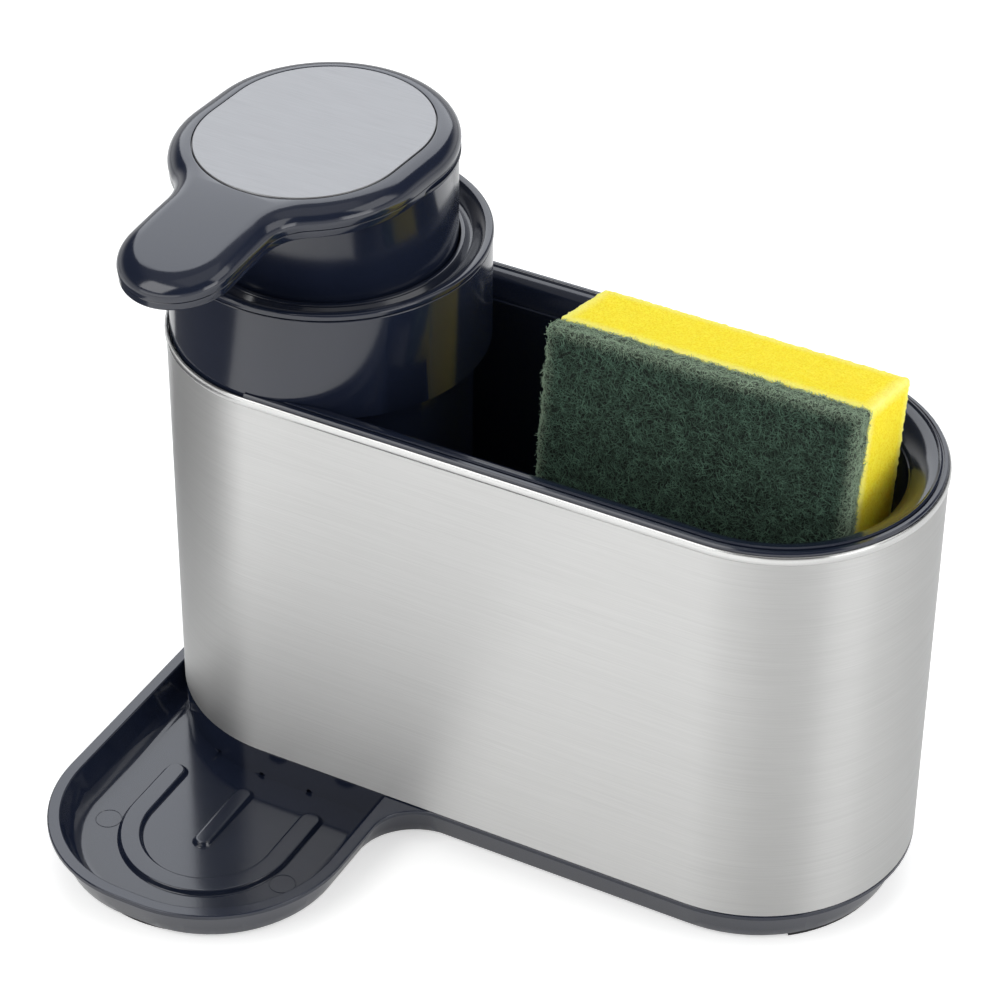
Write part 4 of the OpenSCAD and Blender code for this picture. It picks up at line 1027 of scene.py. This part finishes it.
mesh = rough_block("foam_block", foam,
                   size=(SPONGE_LENGTH - 0.5, SPONGE_THICK - PAD_THICK - 0.4, SPONGE_HEIGHT - 0.5),
                   start=(0, PAD_THICK + 0.1, 0), step=0.75, radius=1.0, edge_width=4.0,
                   bumps=0.18, grain=0.9, bottom=30)
foam_block = in_scene("foam_block", mesh)
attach(foam_block, "sponge")
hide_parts("sponge_foam")
print("the foam has", len(foam_block.data.polygons), "faces")

# %% [markdown]
# ## The scouring pad
# A non-woven pad is a felt of stiff curly fibres. Its body is a lumpy block, and on it lie
# thousands of short fibres, each a thin tube that curls on its own and stands up at the cut edges.
# Geometry Nodes scatter them with a fixed seed. Each block point knows how near it is to a cut
# edge, and the fibres inherit that, so the edges get a painted highlight and turn fuzzy.

# %% The pad's block
mesh = rough_block("pad_body", pad_fibre,
                   size=(SPONGE_LENGTH - 1.2, PAD_THICK - 1.0, SPONGE_HEIGHT - 1.2),
                   start=(0.6, 0.8, 0.6), step=1.1, radius=1.3, edge_width=2.6,
                   bumps=0.35, grain=2.6, bottom=-1, cut_sides=[0, 2])
print("the pad's block has", len(mesh.polygons), "faces")

# %% The pad's fibres
tree, size = new_tree("felted_fibres", [
    "Per square metre", "Length", "Thickness", "Curl", "Curl grain", "Edge share"])
# Only the block's front and cut sides grow fibres
side = add(tree, "GeometryNodeInputNamedAttribute", {"data_type": "FLOAT"}, {"Name": "open_side"})
crowd = add(tree, "ShaderNodeMath", {"operation": "MULTIPLY"},
            {0: side, 1: size["Per square metre"]})
spots = add(tree, "GeometryNodeDistributePointsOnFaces", None, {
    "Mesh": size["Geometry"], "Density": crowd, "Seed": 5})
half = add(tree, "ShaderNodeCombineXYZ", None, {0: size["Length"]})
ends = [add(tree, "ShaderNodeVectorMath", {"operation": "SCALE"}, {0: half, "Scale": k})
        for k in (-0.5, 0.5)]
stroke = add(tree, "GeometryNodeCurvePrimitiveLine", None, {
    "Start": ends[0], "End": ends[1]})
stroke = add(tree, "GeometryNodeResampleCurve", None, {"Curve": stroke, "Count": 4})
spin = add(tree, "FunctionNodeRandomValue", {"data_type": "FLOAT"}, {
    2: 0.0, 3: math.tau, "Seed": 2})
tilt = add(tree, "FunctionNodeRandomValue", {"data_type": "FLOAT"}, {2: -0.3, 3: 0.3, "Seed": 3})
turn = add(tree, "ShaderNodeCombineXYZ", None, {1: tilt.outputs[1], 2: spin.outputs[1]})
facing = add(tree, "FunctionNodeRotateRotation", {"rotation_space": "LOCAL"}, {
    0: spots.outputs["Rotation"], 1: turn})
reach = add(tree, "FunctionNodeRandomValue", {"data_type": "FLOAT"}, {2: 0.6, 3: 1.4, "Seed": 4})
near = add(tree, "GeometryNodeInputNamedAttribute", {"data_type": "FLOAT"}, {"Name": "edge"})
short = add(tree, "ShaderNodeMapRange", None, {
    "Value": near, "From Min": 0.2, "From Max": 0.8, "To Min": 1.0,
    "To Max": size["Edge share"]})
reach = add(tree, "ShaderNodeMath", {"operation": "MULTIPLY"},
            {0: reach.outputs[1], 1: short})
laid = add(tree, "GeometryNodeInstanceOnPoints", None, {
    "Points": spots.outputs["Points"], "Instance": stroke,
    "Rotation": facing, "Scale": reach})
own = add(tree, "FunctionNodeRandomValue", {"data_type": "FLOAT"}, {2: 0.1, 3: 1.0, "Seed": 6})
toned = add(tree, "GeometryNodeStoreNamedAttribute", {"data_type": "FLOAT", "domain": "INSTANCE"}, {
    "Geometry": laid, "Name": "tone", "Value": own.outputs[1]})
loose = add(tree, "GeometryNodeRealizeInstances", None, {0: toned})
# The fourth coordinate is the fibre's own tone, so that neighbours don't curl alike
tone = add(tree, "GeometryNodeInputNamedAttribute", {"data_type": "FLOAT"}, {"Name": "tone"})
swirl = add(tree, "ShaderNodeTexNoise", {"noise_dimensions": "4D"}, {
    "W": tone, "Scale": size["Curl grain"], "Detail": 1.0})
swirl = add(tree, "ShaderNodeVectorMath", {"operation": "SUBTRACT"}, {
    0: swirl.outputs["Color"], 1: (0.5, 0.5, 0.5)})
swirl = add(tree, "ShaderNodeVectorMath", {"operation": "SCALE"}, {
    0: swirl, "Scale": size["Curl"]})
curled = add(tree, "GeometryNodeSetPosition", None, {
    "Geometry": loose, "Offset": swirl})
section = add(tree, "GeometryNodeCurvePrimitiveCircle", None, {
    "Resolution": 3, "Radius": size["Thickness"]})
threads = add(tree, "GeometryNodeCurveToMesh", None, {
    "Curve": curled, "Profile Curve": section, "Fill Caps": True})
both = add(tree, "GeometryNodeJoinGeometry")
for part in (size["Geometry"], threads.outputs[0]):
    tree.links.new(part, both.inputs[0])
mesh = grown(tree, both, mesh, pad_fibre, {
    "Per square metre": 4.0 / MM ** 2, "Length": 3.0 * MM, "Thickness": 0.06 * MM,
    "Curl": 3.2 * MM, "Curl grain": 0.6 / MM, "Edge share": 0.8})
mesh.name = "scouring_pad_web"
pad_web = in_scene("scouring_pad_web", mesh)
mesh.shade_smooth()
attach(pad_web, "sponge")
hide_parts("scouring_pad")
print("the pad has", len(mesh.polygons), "faces")
